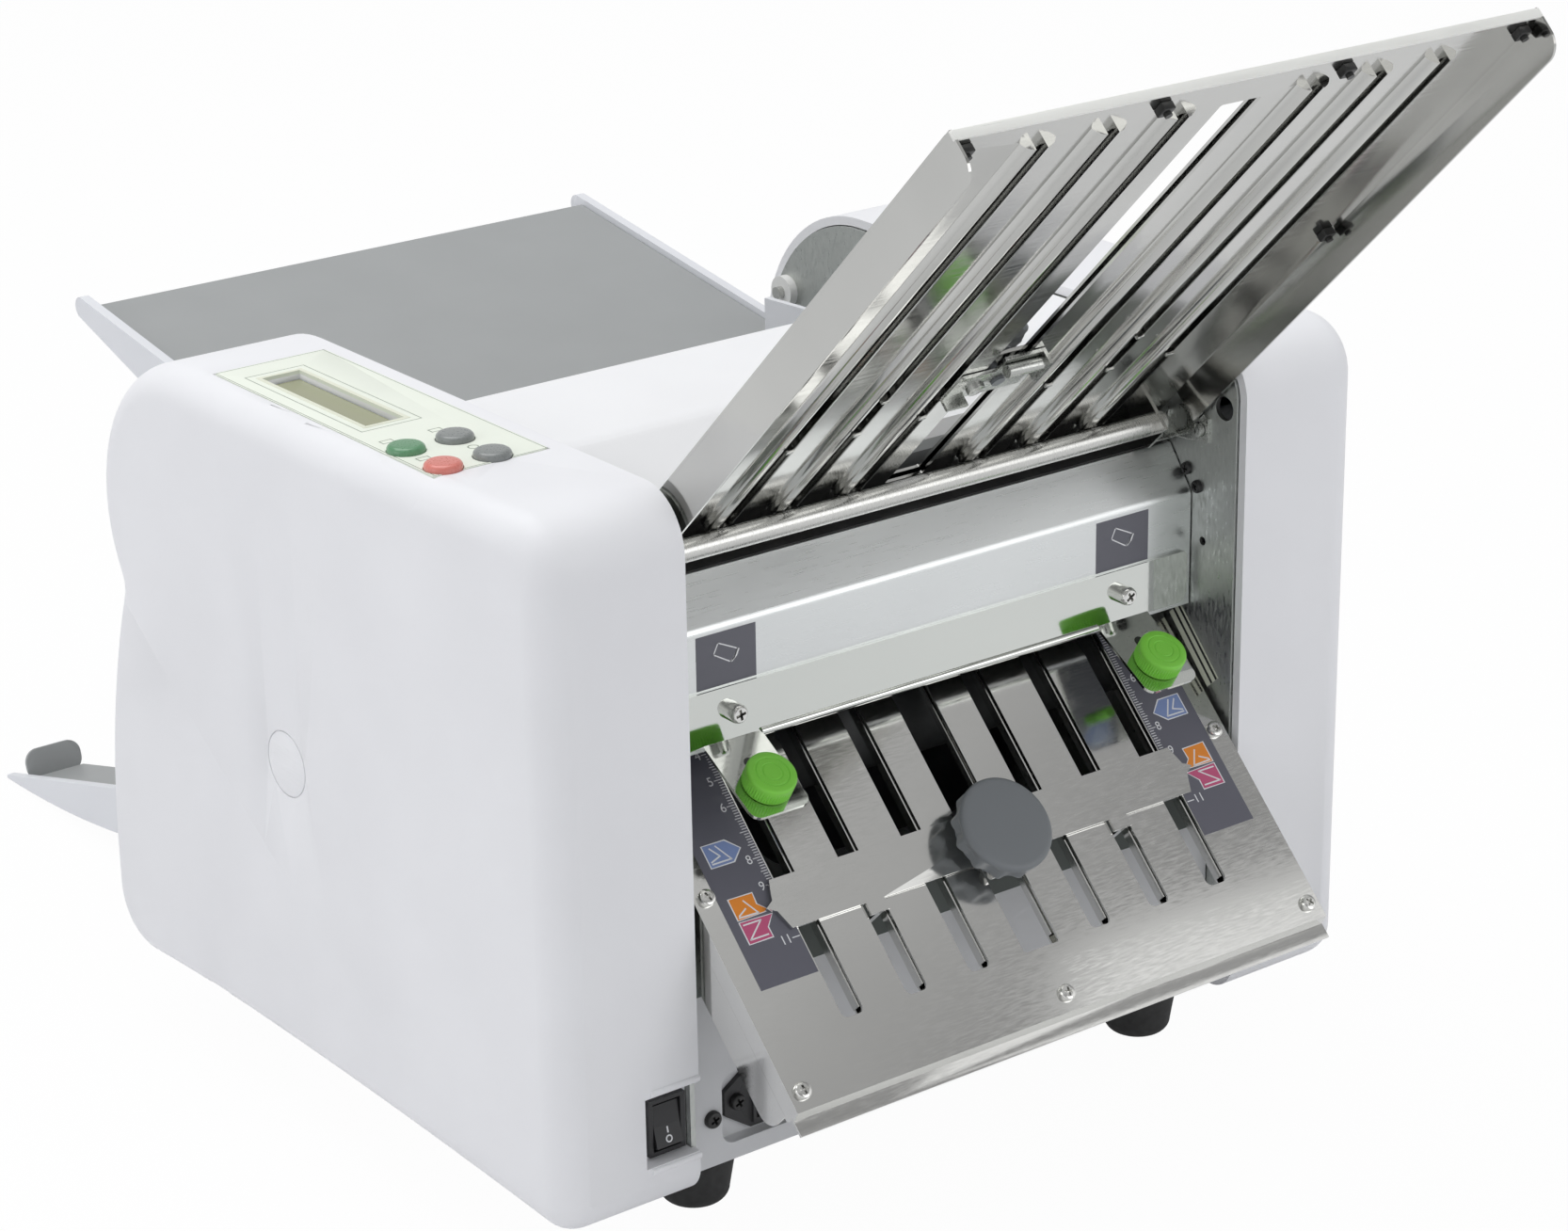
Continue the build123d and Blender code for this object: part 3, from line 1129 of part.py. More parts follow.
# ---------------------------------------------------------------- write one STEP file per node
nodes = {
    "left_cover": left_cover, "right_cover": right_cover,
    "left_side_frame": left_side_frame, "right_side_frame": right_side_frame,
    "base_pan": base_pan, "feet": feet, "frame_rods": frame_rods,
    "shaft_bearings": shaft_bearings,
    "feed_table": feed_table, "feed_table_rails": feed_table_rails,
    "left_paper_guide": lambda: paper_guide(-1), "right_paper_guide": lambda: paper_guide(1),
    "separator_pad": separator_pad, "feed_shaft": feed_shaft, "feed_wheels": feed_wheels,
    "delivery_chute": delivery_chute, "delivery_tray": delivery_tray,
    "delivery_tray_plate": delivery_tray_plate,
    "lower_plate_cover": lower_plate_cover, "lower_plate_front": lower_plate_front,
    "lower_plate_back": lower_plate_back, "upper_plate_front": upper_plate_front,
    "upper_plate_back": upper_plate_back, "plate_screws": plate_screws,
    "cross_rod": cross_rod, "plate_hooks": plate_hooks,
    "lower_stop_bar": lambda: lower_place * stop_bar(lower_bar_at, 0),
    "lower_stop_knob": lambda: lower_place * stop_knob(lower_bar_at, 0, -4.2),
    "upper_stop_bar": lambda: upper_place * stop_bar(upper_bar_at, channel_top),
    "upper_stop_knob": lambda: upper_place * stop_knob(upper_bar_at, channel_top, back_face - 2.5),
    "upper_clamp": lambda: upper_place * upper_clamp(upper_bar_at),
    "deflector_cover": deflector_cover, "retaining_bar": retaining_bar, "bar_screws": bar_screws,
    "left_thumbscrew": lambda: thumbscrew(-1), "right_thumbscrew": lambda: thumbscrew(1),
    "top_cover": top_cover, "control_panel": control_panel, "display_module": display_module,
    "switch_body": switch_body, "rocker": rocker, "inlet_socket": inlet_socket,
    "base_screws": base_screws, "motor": motor, "motor_shaft": motor_shaft,
    "drive_pulley": drive_pulley, "feed_drive_pulley": feed_drive_pulley, "belts": belts,
}
for roller_name in rollers:
    nodes[roller_name] = lambda n=roller_name: roller(n)
    nodes[roller_name.replace("roller", "gear")] = lambda n=roller_name: fold_gear(n)
for key_name in button_spots:
    nodes[key_name] = lambda n=key_name: push_button(n)

solids = {}
for node_name, make in nodes.items():
    made = make()
    solids[node_name] = list(made) if isinstance(made, (list, tuple)) else [made]

# the shared frame's origin sits on the table under the middle of the machine's length
boxes = [solid.bounding_box() for group in solids.values() for solid in group]
origin_y = (min(b.min.Y for b in boxes) + max(b.max.Y for b in boxes)) / 2
print("origin_y", round(origin_y, 3))

os.makedirs("parts", exist_ok=True)
for node_name, group in solids.items():
    moved = [Pos(0, -origin_y, 0) * solid for solid in group]
    export_step(moved[0] if len(moved) == 1 else Compound(children=moved), f"parts/{node_name}.step")
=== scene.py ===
# %% [markdown]
# # A desk paper folding machine
#
# The machine stands on a desk. A stack of sheets lies on the sloping table at the back, soft wheels
# pull one sheet at a time between four rollers, and the sheet runs into a slotted fold plate until it
# hits a stop. There it buckles and is creased by the next pair of rollers. There are two such plates:
# one slopes down at the front, one stands up like a lectern.
#
# The solid model comes from the CAD program as a fixed frame. Here each part gets the finish of the
# real one, and the small things that a CAD program leaves out: printed scales, cross recesses in the
# screws, knurling, the display.

# %% Load the frame
import json
from math import cos, pi, radians, sin

import bmesh
import bpy
from mathutils import Matrix, Vector

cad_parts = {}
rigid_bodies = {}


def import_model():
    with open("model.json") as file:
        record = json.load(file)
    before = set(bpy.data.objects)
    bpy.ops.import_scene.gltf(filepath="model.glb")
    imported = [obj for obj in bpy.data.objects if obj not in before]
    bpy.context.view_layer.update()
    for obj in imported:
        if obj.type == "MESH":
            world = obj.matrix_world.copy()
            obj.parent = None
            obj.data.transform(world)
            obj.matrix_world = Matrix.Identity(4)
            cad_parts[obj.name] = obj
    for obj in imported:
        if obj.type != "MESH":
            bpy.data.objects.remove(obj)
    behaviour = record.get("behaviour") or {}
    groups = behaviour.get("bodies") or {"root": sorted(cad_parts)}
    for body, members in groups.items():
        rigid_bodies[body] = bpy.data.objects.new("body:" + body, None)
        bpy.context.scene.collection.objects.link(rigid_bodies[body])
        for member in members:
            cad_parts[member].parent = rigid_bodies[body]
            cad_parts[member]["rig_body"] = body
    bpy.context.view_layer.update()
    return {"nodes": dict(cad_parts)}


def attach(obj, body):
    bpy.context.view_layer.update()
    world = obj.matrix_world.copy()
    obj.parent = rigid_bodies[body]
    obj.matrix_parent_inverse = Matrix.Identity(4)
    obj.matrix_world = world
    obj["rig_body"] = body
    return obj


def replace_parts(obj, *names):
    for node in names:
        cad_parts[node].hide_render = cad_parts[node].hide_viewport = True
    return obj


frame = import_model()
print("parts in the frame:", len(frame["nodes"]))

# %% [markdown]
# ## One ruler for everything
#
# The drawing of the machine is in millimetres and counts its depth from the front of the side covers.
# Blender works in metres, and the frame's origin is under the middle of the machine. One matrix holds
# both changes, so every number below can be read off the drawing. Two more place the fold plates: in
# their own frame x runs across, y runs up the slope and z stands out of the sheet.

# %% Places
origin_y = 189.692
drawing = Matrix.Scale(0.001, 4) @ Matrix.Translation((0, -origin_y, 0))
lower_plate = drawing @ Matrix.Translation((0, 2.5, 124.8)) @ Matrix.Rotation(radians(45), 4, "X")
upper_plate = drawing @ Matrix.Translation((0, 48.2225, 244.2225)) @ Matrix.Rotation(radians(-45), 4, "X")
print("plates at", lower_plate.translation[:], upper_plate.translation[:])

# %% [markdown]
# ## The camera
#
# The camera stands in front of the machine, to its left and a little above it, three quarters of a
# metre over the desk, with a long lens so that parallel edges stay nearly parallel. Its direction is
# given as a heading, a dip and a slight roll.

# %% Camera
heading, dip, roll = radians(36.86), radians(21.05), radians(-0.96)
forward = Vector((sin(heading) * cos(dip), cos(heading) * cos(dip), -sin(dip)))
level = forward.cross(Vector((0, 0, 1))).normalized()
upward = level.cross(forward)
side = cos(roll) * level + sin(roll) * upward
top = -sin(roll) * level + cos(roll) * upward
camera = bpy.data.objects.new("camera", bpy.data.cameras.new("camera"))
camera.data.lens = 92.43
camera.data.sensor_width = 36
camera.data.clip_end = 50
turn = Matrix((side, top, -forward)).transposed().to_4x4()
camera.matrix_world = Matrix.Translation((-0.81729, -1.168952, 0.69197)) @ turn
bpy.context.scene.collection.objects.link(camera)
bpy.context.scene.camera = camera
print("camera looks along", [round(c, 3) for c in forward])

# %% [markdown]
# ## Light
#
# White plastic needs soft light from large panels, or its rounded edges disappear. Bare steel shows
# mostly what stands round it, so the room matters as much as the lamps: a white floor, pale walls at
# the height of the machine and a darker ceiling give it the long light and dark streaks that make it
# look like metal. A small fourth panel stands where the lower plate mirrors it, and lights one corner of
# that plate. The view transform is Standard, so that a colour renders as it is written.

# %% Lamps
bpy.context.scene.view_settings.view_transform = "Standard"


def panel_lamp(name, place, target, size, power):
    """A square soft light that faces a point."""
    lamp = bpy.data.objects.new(name, bpy.data.lights.new(name, "AREA"))
    lamp.data.size = size
    lamp.data.energy = power
    lamp.location = place
    lamp.rotation_euler = (Vector(target) - Vector(place)).to_track_quat("-Z", "Y").to_euler()
    bpy.context.scene.collection.objects.link(lamp)
    return lamp


panel_lamp("overhead", (-0.2, 0.35, 1.9), (0, 0, 0.2), 1.5, 18.6)
panel_lamp("left_panel", (-2.1, 0.0, 0.9), (0, 0, 0.2), 1.4, 7.4)
panel_lamp("front_panel", (0.9, -2.1, 0.8), (0, 0, 0.2), 1.2, 6.4)
corner = panel_lamp("corner_panel", (0.8725, -0.8595, 0.598), (0.07, -0.24, 0.072), 0.5, 0.45)
lamp_back = Vector((0.625, -0.423, 0.656)).normalized()
lamp_top = Vector((0.014, 0.846, 0.533)).normalized()
corner.rotation_euler = Matrix((lamp_top.cross(lamp_back), lamp_top, lamp_back)).transposed().to_euler()

# %% [markdown]
# The world does two jobs. For diffuse surfaces it is an even grey sky. For the camera, for reflections
# and through glass it is a white studio with a darker ceiling, made with a colour ramp on the height of
# the direction in which a ray leaves.

# %% World
world = bpy.data.worlds.new("studio")
bpy.context.scene.world = world
world.use_nodes = True
sky = world.node_tree
sky.nodes.clear()


def add(tree, kind, **settings):
    """A node of this kind, with its properties set."""
    made = tree.nodes.new(kind)
    for key, value in settings.items():
        setattr(made, key, value)
    return made


out = add(sky, "ShaderNodeOutputWorld")
even = add(sky, "ShaderNodeBackground")
even.inputs["Color"].default_value = (0.95, 0.97, 1.0, 1)
even.inputs["Strength"].default_value = 0.50
white = add(sky, "ShaderNodeBackground")
white.inputs["Color"].default_value = (1, 1, 1, 1)
mirror_view = add(sky, "ShaderNodeBackground")
ray = add(sky, "ShaderNodeLightPath")
direction = add(sky, "ShaderNodeTexCoord")
split = add(sky, "ShaderNodeSeparateXYZ")
height = add(sky, "ShaderNodeMapRange")
height.inputs["From Min"].default_value = -1
ramp = add(sky, "ShaderNodeValToRGB")
ramp.color_ramp.elements[0].position = 0.5
ramp.color_ramp.elements[0].color = (0.95, 0.95, 0.95, 1)
ramp.color_ramp.elements[1].position = 1.0
ramp.color_ramp.elements[1].color = (0.42, 0.43, 0.42, 1)
for position, grey in ((0.60, 0.72), (0.72, 0.38), (0.838, 0.30), (0.856, 0.46), (0.88, 0.58)):
    ramp.color_ramp.elements.new(position).color = (grey, grey, grey, 1)
sky.links.new(direction.outputs["Generated"], split.inputs[0])
sky.links.new(split.outputs["Z"], height.inputs["Value"])
sky.links.new(height.outputs["Result"], ramp.inputs["Fac"])
sky.links.new(ramp.outputs["Color"], mirror_view.inputs["Color"])
seen = add(sky, "ShaderNodeMath", operation="MAXIMUM")
sky.links.new(ray.outputs["Is Camera Ray"], seen.inputs[0])
sky.links.new(ray.outputs["Is Transmission Ray"], seen.inputs[1])
glossy = add(sky, "ShaderNodeMixShader")
sky.links.new(ray.outputs["Is Glossy Ray"], glossy.inputs["Fac"])
sky.links.new(even.outputs[0], glossy.inputs[1])
sky.links.new(mirror_view.outputs[0], glossy.inputs[2])
plain = add(sky, "ShaderNodeMixShader")
sky.links.new(seen.outputs[0], plain.inputs["Fac"])
sky.links.new(glossy.outputs[0], plain.inputs[1])
sky.links.new(white.outputs[0], plain.inputs[2])
sky.links.new(plain.outputs[0], out.inputs["Surface"])
print("world nodes:", len(sky.nodes))

# %% [markdown]
# ## Finishes
#
# No real surface is one flat colour. Every finish below starts from the Principled shader and gets its
# grain from noise on object coordinates, which are metres here: a scale of 1000 makes features about a
# millimetre wide. Stretching the coordinates turns the same noise into the fine parallel lines of
# brushed steel. Values that don't change over the surface stay on the shader's own sockets.

# %% Finish helpers
finish_called = {}


def new_finish(name, colour, roughness, metallic=0.0, **sockets):
    """A Principled material with these plain values. The frame brings plain materials of the same names."""
    made = finish_called[name] = bpy.data.materials.new(name)
    made.use_nodes = True
    shader = made.node_tree.nodes["Principled BSDF"]
    shader.inputs["Base Color"].default_value = (*colour, 1)
    shader.inputs["Roughness"].default_value = roughness
    shader.inputs["Metallic"].default_value = metallic
    for key, value in sockets.items():
        shader.inputs[key.replace("_", " ")].default_value = value
    return made


def grain(finish, scale, stretch=(1, 1, 1), detail=3.0):
    """Noise in the piece's own space. Returns its output socket."""
    tree = finish.node_tree
    where = add(tree, "ShaderNodeTexCoord")
    mapping = add(tree, "ShaderNodeMapping")
    mapping.inputs["Scale"].default_value = stretch
    noise = add(tree, "ShaderNodeTexNoise")
    noise.inputs["Scale"].default_value = scale
    noise.inputs["Detail"].default_value = detail
    tree.links.new(where.outputs["Object"], mapping.inputs["Vector"])
    tree.links.new(mapping.outputs["Vector"], noise.inputs["Vector"])
    return noise.outputs["Fac"]


def vary(finish, noise, socket, low, high):
    """The noise moves a number of the shader between two values."""
    tree = finish.node_tree
    span = add(tree, "ShaderNodeMapRange")
    span.inputs["From Min"].default_value = 0.3
    span.inputs["From Max"].default_value = 0.7
    span.inputs["To Min"].default_value = low
    span.inputs["To Max"].default_value = high
    tree.links.new(noise, span.inputs["Value"])
    tree.links.new(span.outputs["Result"], tree.nodes["Principled BSDF"].inputs[socket])


def tint(finish, noise, one, other):
    """The noise mixes two colours."""
    tree = finish.node_tree
    ramp = add(tree, "ShaderNodeValToRGB")
    ramp.color_ramp.elements[0].position, ramp.color_ramp.elements[0].color = 0.3, (*one, 1)
    ramp.color_ramp.elements[1].position, ramp.color_ramp.elements[1].color = 0.7, (*other, 1)
    tree.links.new(noise, ramp.inputs["Fac"])
    tree.links.new(ramp.outputs["Color"], tree.nodes["Principled BSDF"].inputs["Base Color"])


def emboss(finish, noise, depth, strength=0.5):
    """The noise raises the surface by this depth, in metres."""
    tree = finish.node_tree
    bump = add(tree, "ShaderNodeBump")
    bump.inputs["Distance"].default_value = depth
    bump.inputs["Strength"].default_value = strength
    tree.links.new(noise, bump.inputs["Height"])
    tree.links.new(bump.outputs["Normal"], tree.nodes["Principled BSDF"].inputs["Normal"])


# %% [markdown]
# ### Moulded plastic
#
# The covers come out of a mould with a spark-eroded texture: matt, with a grain of a few tenths of a
# millimetre. The recipe is a small helper, because lid, guides, knobs and switch use it too with other
# colours and a finer or coarser grain.

# %% Moulded plastic


def moulded(name, colour, roughness, texture=2600.0, depth=0.00002, **sockets):
    made = new_finish(name, colour, roughness, **sockets)
    fine = grain(made, texture)
    emboss(made, fine, depth, 0.35)
    vary(made, fine, "Roughness", roughness - 0.05, roughness + 0.05)
    cloud = grain(made, 22.0, detail=2.0)
    tint(made, cloud, tuple(c * 0.985 for c in colour), tuple(min(1.0, c * 1.01) for c in colour))
    return made


cover_white = moulded("cover_white", (0.865, 0.865, 0.885), 0.50)
lid_white = moulded("lid_white", (0.91, 0.91, 0.92), 0.42, 1800.0)
rail_white = moulded("rail_white", (0.76, 0.77, 0.80), 0.45)
knob_grey = moulded("knob_grey", (0.185, 0.198, 0.21), 0.42, 1500.0, 0.00004)
thumb_green = moulded("thumb_green", (0.22, 0.66, 0.06), 0.38, 1500.0)
switch_black = moulded("switch_black", (0.022, 0.022, 0.024), 0.40, 1800.0)
gear_acetal = moulded("gear_acetal", (0.72, 0.70, 0.63), 0.38)
pulley_plastic = moulded("pulley_plastic", (0.05, 0.05, 0.055), 0.45)
bush_plastic = moulded("bush_plastic", (0.80, 0.80, 0.78), 0.40)
print("plastics:", [m.name for m in bpy.data.materials])

# %% [markdown]
# ### Sheet steel
#
# Three steels are side by side here. The plates, the stop bars and the deflector are ground sheet with
# lines along the machine's width. The retaining bar and its tongues are polished until they mirror the
# floor. The side frames are galvanised, greener and duller. The grinding lines are noise stretched
# along x, and they drive the roughness. A bump that fine would scatter the reflections and make the
# sheet look like stone, so there is none: the sheet mirrors the room as a flat sheet does.

# %% Steel


def ground_steel(name, colour, roughness, along=(0.02, 1.0, 1.0), lines=2600.0, contrast=0.10,
                 spread=(0.6, 1.6)):
    made = new_finish(name, colour, roughness, 1.0)
    stroke = grain(made, lines, along, 4.0)
    vary(made, stroke, "Roughness", roughness * spread[0], roughness * spread[1])
    stain = grain(made, 16.0, (0.6, 1.0, 1.0), 3.0)
    tint(made, stain, tuple(c * (1 - contrast) for c in colour), colour)
    return made


plate_steel = ground_steel("plate_steel", (0.80, 0.80, 0.78), 0.11, (0.12, 1.0, 1.0), 1600.0)
fold_steel = ground_steel("fold_steel", (0.58, 0.58, 0.56), 0.11, (0.03, 1.0, 1.0), 2000.0, 0.08)
deflector_steel = ground_steel("deflector_steel", (0.72, 0.74, 0.74), 0.30, contrast=0.06,
                               spread=(0.88, 1.15))
frame_steel = ground_steel("frame_steel", (0.56, 0.58, 0.56), 0.40, (1.0, 1.0, 0.3), 900.0)
turned_steel = ground_steel("turned_steel", (0.62, 0.62, 0.60), 0.26, (1.0, 0.05, 0.05), 3000.0)
mirror_steel = ground_steel("mirror_steel", (0.66, 0.68, 0.65), 0.06, lines=1800.0, contrast=0.03)
bracket_steel = ground_steel("bracket_steel", (0.50, 0.51, 0.49), 0.22, (1.0, 1.0, 1.0), 1200.0)
# Painted highlight: a pale, barely metallic copy of the steel, so that the hem of the upper plate renders
# bright.
painted_highlight_steel = ground_steel("painted_highlight_steel", (0.90, 0.90, 0.86), 0.45)
painted_highlight_steel.node_tree.nodes["Principled BSDF"].inputs["Metallic"].default_value = 0.15
screw_steel = ground_steel("screw_steel", (0.78, 0.78, 0.76), 0.16, (1.0, 1.0, 1.0), 2500.0)
print("steels ready")

# %% [markdown]
# ### Paint, rubber and print
#
# The base and the trays are powder coated: a matt coat with the slight orange peel of a paint that
# melts. Rubber is nearly black, with a faint patchy dust. The printed foils are smooth and even, so
# they only vary a little in gloss.

# %% Paint, rubber, print


def powder(name, colour, roughness=0.48):
    made = new_finish(name, colour, roughness)
    peel = grain(made, 900.0, detail=2.0)
    emboss(made, peel, 0.00006, 0.25)
    tint(made, grain(made, 30.0), tuple(c * 0.96 for c in colour), colour)
    return made


def rubber(name, colour, roughness=0.75):
    made = new_finish(name, colour, roughness)
    dust = grain(made, 350.0, detail=5.0)
    tint(made, dust, colour, tuple(c + 0.012 for c in colour))
    emboss(made, grain(made, 1500.0), 0.00005, 0.4)
    return made


def print_ink(name, colour, roughness=0.42):
    made = new_finish(name, colour, roughness)
    vary(made, grain(made, 260.0), "Roughness", roughness - 0.06, roughness + 0.06)
    tint(made, grain(made, 40.0), tuple(c * 0.97 for c in colour), colour)
    return made


base_paint = powder("base_paint", (0.74, 0.745, 0.76))
table_grey = powder("table_grey", (0.36, 0.37, 0.37))
motor_paint = powder("motor_paint", (0.045, 0.045, 0.05))
screw_black = powder("screw_black", (0.018, 0.018, 0.018), 0.35)
# Painted shade: the dark green-grey of the band that the slots look onto.
painted_shade_grey = powder("painted_shade_grey", (0.085, 0.10, 0.092), 0.5)
foot_rubber = rubber("foot_rubber", (0.022, 0.022, 0.022))
roller_rubber = rubber("roller_rubber", (0.075, 0.078, 0.08), 0.6)
feed_rubber = rubber("feed_rubber", (0.20, 0.17, 0.13), 0.7)
belt_rubber = rubber("belt_rubber", (0.02, 0.02, 0.022), 0.6)
panel_green = print_ink("panel_green", (0.88, 0.92, 0.82), 0.5)
scale_foil = print_ink("scale_foil", (0.125, 0.125, 0.155), 0.40)
label_foil = print_ink("label_foil", (0.13, 0.13, 0.155), 0.45)
print_white = print_ink("print_white", (0.82, 0.82, 0.84))
print_blue = print_ink("print_blue", (0.22, 0.30, 0.55))
print_orange = print_ink("print_orange", (0.85, 0.27, 0.02))
print_magenta = print_ink("print_magenta", (0.56, 0.09, 0.21))
line_grey = print_ink("line_grey", (0.30, 0.34, 0.27))
ivory = print_ink("ivory", (0.80, 0.82, 0.68))
key_green = moulded("key_green", (0.12, 0.30, 0.155), 0.30, 1200.0, 0.000008, Coat_Weight=0.3)
key_red = moulded("key_red", (0.72, 0.22, 0.18), 0.30, 1200.0, 0.000008, Coat_Weight=0.3)
key_grey = moulded("key_grey", (0.24, 0.255, 0.25), 0.30, 1200.0, 0.000008, Coat_Weight=0.3)
print("finishes:", len(bpy.data.materials))

# %% [markdown]
# ### The display
#
# A liquid crystal display without its backlight is a dull olive field. It lies a few millimetres
# under the panel, so its edges stay in the shade.

# %% Display finish
lcd_olive = print_ink("lcd_olive", (0.36, 0.37, 0.24), 0.18)
board_green = print_ink("board_green", (0.02, 0.12, 0.05), 0.45)
print("display finish ready")

# %% [markdown]
# ## Dressing the solid parts
#
# Each part of the frame takes one finish. The CAD program hands over loose triangles with hard edges.
# A copy of a part, with its doubled points merged, can be shaded smooth and gets a hair-fine bevel on
# its sharp edges. That bevel is what catches the light on real sheet metal and mouldings. The copy
# then stands for the part.

# %% Helpers for pieces


def settle(name, mesh, finish, body, sharp=32.0):
    """Make an object of a mesh, shade it, and let it ride on a body."""
    mesh.materials.clear()
    mesh.materials.append(finish)
    mesh.shade_smooth()
    mesh.set_sharp_from_angle(angle=radians(sharp))
    piece = bpy.data.objects.new(name, mesh)
    bpy.context.scene.collection.objects.link(piece)
    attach(piece, body)
    return piece


def take(name, bm, finish, body, place=None, sharp=32.0):
    """Turn a bmesh into a riding piece. place takes it from the drawing to its spot."""
    if place is not None:
        bmesh.ops.transform(bm, matrix=place, verts=bm.verts)
    bmesh.ops.recalc_face_normals(bm, faces=bm.faces)
    mesh = bpy.data.meshes.new(name)
    bm.to_mesh(mesh)
    bm.free()
    return settle(name, mesh, finish, body, sharp)


# %% [markdown]
# The slots of the fold plates are slightly narrower on the cover sheet, and wider in the sheets under it,
# than the solid model makes them: one can see right through them to the painted base. A rule for each
# sheet says where a point of the copy goes. It works in the sheet's own frame, in millimetres.

# %% Rules for the slots
slot_centres = [n * 27.3 for n in (-3, -2, -1, 1, 2, 3)]
lower_span, upper_span = (-51.2, 60.2), (-231.2, -0.8)


def widen(x, by):
    """Move a point of the centre slot's edge outwards."""
    return x + (by if x > 0 else -by)


def cover_rule(x, y, z):
    if lower_span[0] <= y <= lower_span[1]:
        if abs(x) <= 8.51:
            return x * 15.8 / 17.0, y, z
        for centre in slot_centres:
            if abs(x - centre) <= 4.76:
                return centre + (x - centre) * 8.9 / 9.5, y, z
    return x, y, z


def back_rule(x, y, z):
    if lower_span[0] <= y <= lower_span[1] and abs(x) <= 2.81:
        return widen(x, 6.2 if x < 0 else 8.4), y, z
    if -54.5 <= y <= 63.5:
        for centre in slot_centres:
            away = x - centre
            if 0.3 < away <= 6.81:
                return centre + (away + 4.4 if away < 2.21 else max(away, 6.6)), y, max(z, -8.8)
    return x, y, z


def upper_rule(x, y, z):
    if upper_span[0] <= y <= upper_span[1] and abs(x) <= 2.81:
        return widen(x, 5.4), y, z
    return x, y, z


slot_rules = {"lower_plate_cover": (lower_plate, cover_rule), "lower_plate_back": (lower_plate, back_rule),
              "upper_plate_front": (upper_plate, upper_rule), "upper_plate_back": (upper_plate, upper_rule)}
print("sheets with a slot rule:", list(slot_rules))

# %% Merged copies
flat_sheets = ("deflector_cover", "retaining_bar", "lower_plate_cover", "lower_plate_back",
               "upper_plate_front", "upper_plate_back", "base_pan")
body_of_node = {n: o["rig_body"] for n, o in frame["nodes"].items()}


def smooth_copy(node, finish, bevel=0.0, sharp=28.0):
    """A merged copy of a CAD part with soft shading and bevelled edges, standing for the part."""
    bm = bmesh.new()
    bm.from_mesh(frame["nodes"][node].data)
    bmesh.ops.remove_doubles(bm, verts=bm.verts, dist=2e-6)
    if node in slot_rules:
        place, rule = slot_rules[node]
        bmesh.ops.transform(bm, matrix=place.inverted(), verts=bm.verts)
        for v in bm.verts:
            v.co = rule(*v.co)
        bmesh.ops.remove_doubles(bm, verts=bm.verts, dist=0.002)
        bmesh.ops.dissolve_degenerate(bm, edges=bm.edges, dist=0.002)
        bmesh.ops.transform(bm, matrix=place, verts=bm.verts)
    if node in flat_sheets:
        bmesh.ops.dissolve_limit(bm, angle_limit=radians(0.4), verts=bm.verts, edges=bm.edges)
    mesh = bpy.data.meshes.new(node + "_skin")
    bm.to_mesh(mesh)
    bm.free()
    piece = settle(node + "_skin", mesh, finish, body_of_node[node], sharp)
    if bevel:
        soften = piece.modifiers.new("soften", "BEVEL")
        soften.width = bevel
        soften.segments = 2
        soften.limit_method = "ANGLE"
        soften.angle_limit = radians(40)
        soften.harden_normals = True
    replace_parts(piece, node)
    return piece


# %% Finish of each part
finishes = {
    "cover_white": ["left_cover", "right_cover"],
    "lid_white": ["top_cover"],
    "frame_steel": ["left_side_frame", "right_side_frame", "delivery_chute"],
    "base_paint": ["base_pan"],
    "foot_rubber": ["feet"],
    "turned_steel": ["frame_rods", "feed_shaft", "cross_rod", "motor_shaft"],
    "bush_plastic": ["shaft_bearings"],
    "table_grey": ["feed_table", "delivery_tray_plate"],
    "rail_white": ["feed_table_rails", "left_paper_guide", "right_paper_guide", "delivery_tray"],
    "feed_rubber": ["separator_pad", "feed_wheels"],
    "plate_steel": ["lower_plate_cover", "lower_plate_front", "lower_plate_back", "lower_stop_bar"],
    "fold_steel": ["upper_plate_front", "upper_plate_back", "upper_stop_bar"],
    "mirror_steel": ["retaining_bar"],
    "bracket_steel": ["plate_hooks", "upper_clamp"],
    "screw_steel": ["plate_screws", "bar_screws"],
    "deflector_steel": ["deflector_cover"],
    "knob_grey": ["lower_stop_knob", "upper_stop_knob"],
    "thumb_green": ["left_thumbscrew", "right_thumbscrew"],
    "panel_green": ["control_panel"],
    "board_green": ["display_module"],
    "switch_black": ["switch_body", "rocker", "inlet_socket"],
    "screw_black": ["base_screws"],
    "motor_paint": ["motor"],
    "pulley_plastic": ["drive_pulley", "feed_drive_pulley"],
    "belt_rubber": ["belts"],
    "key_green": ["start_button"],
    "key_red": ["stop_button"],
    "key_grey": ["mode_button", "clear_button"],
    "roller_rubber": ["feed_nip_roller", "centre_roller", "fold_nip_roller", "exit_roller"],
    "gear_acetal": ["feed_nip_gear", "centre_gear", "fold_nip_gear", "exit_gear"],
}
for finish_name, members in finishes.items():
    for node in members:
        part = frame["nodes"][node]
        part.data.materials.clear()
        part.data.materials.append(finish_called[finish_name])
left_over = set(frame["nodes"]) - {n for members in finishes.values() for n in members}
print("parts without a finish:", sorted(left_over))

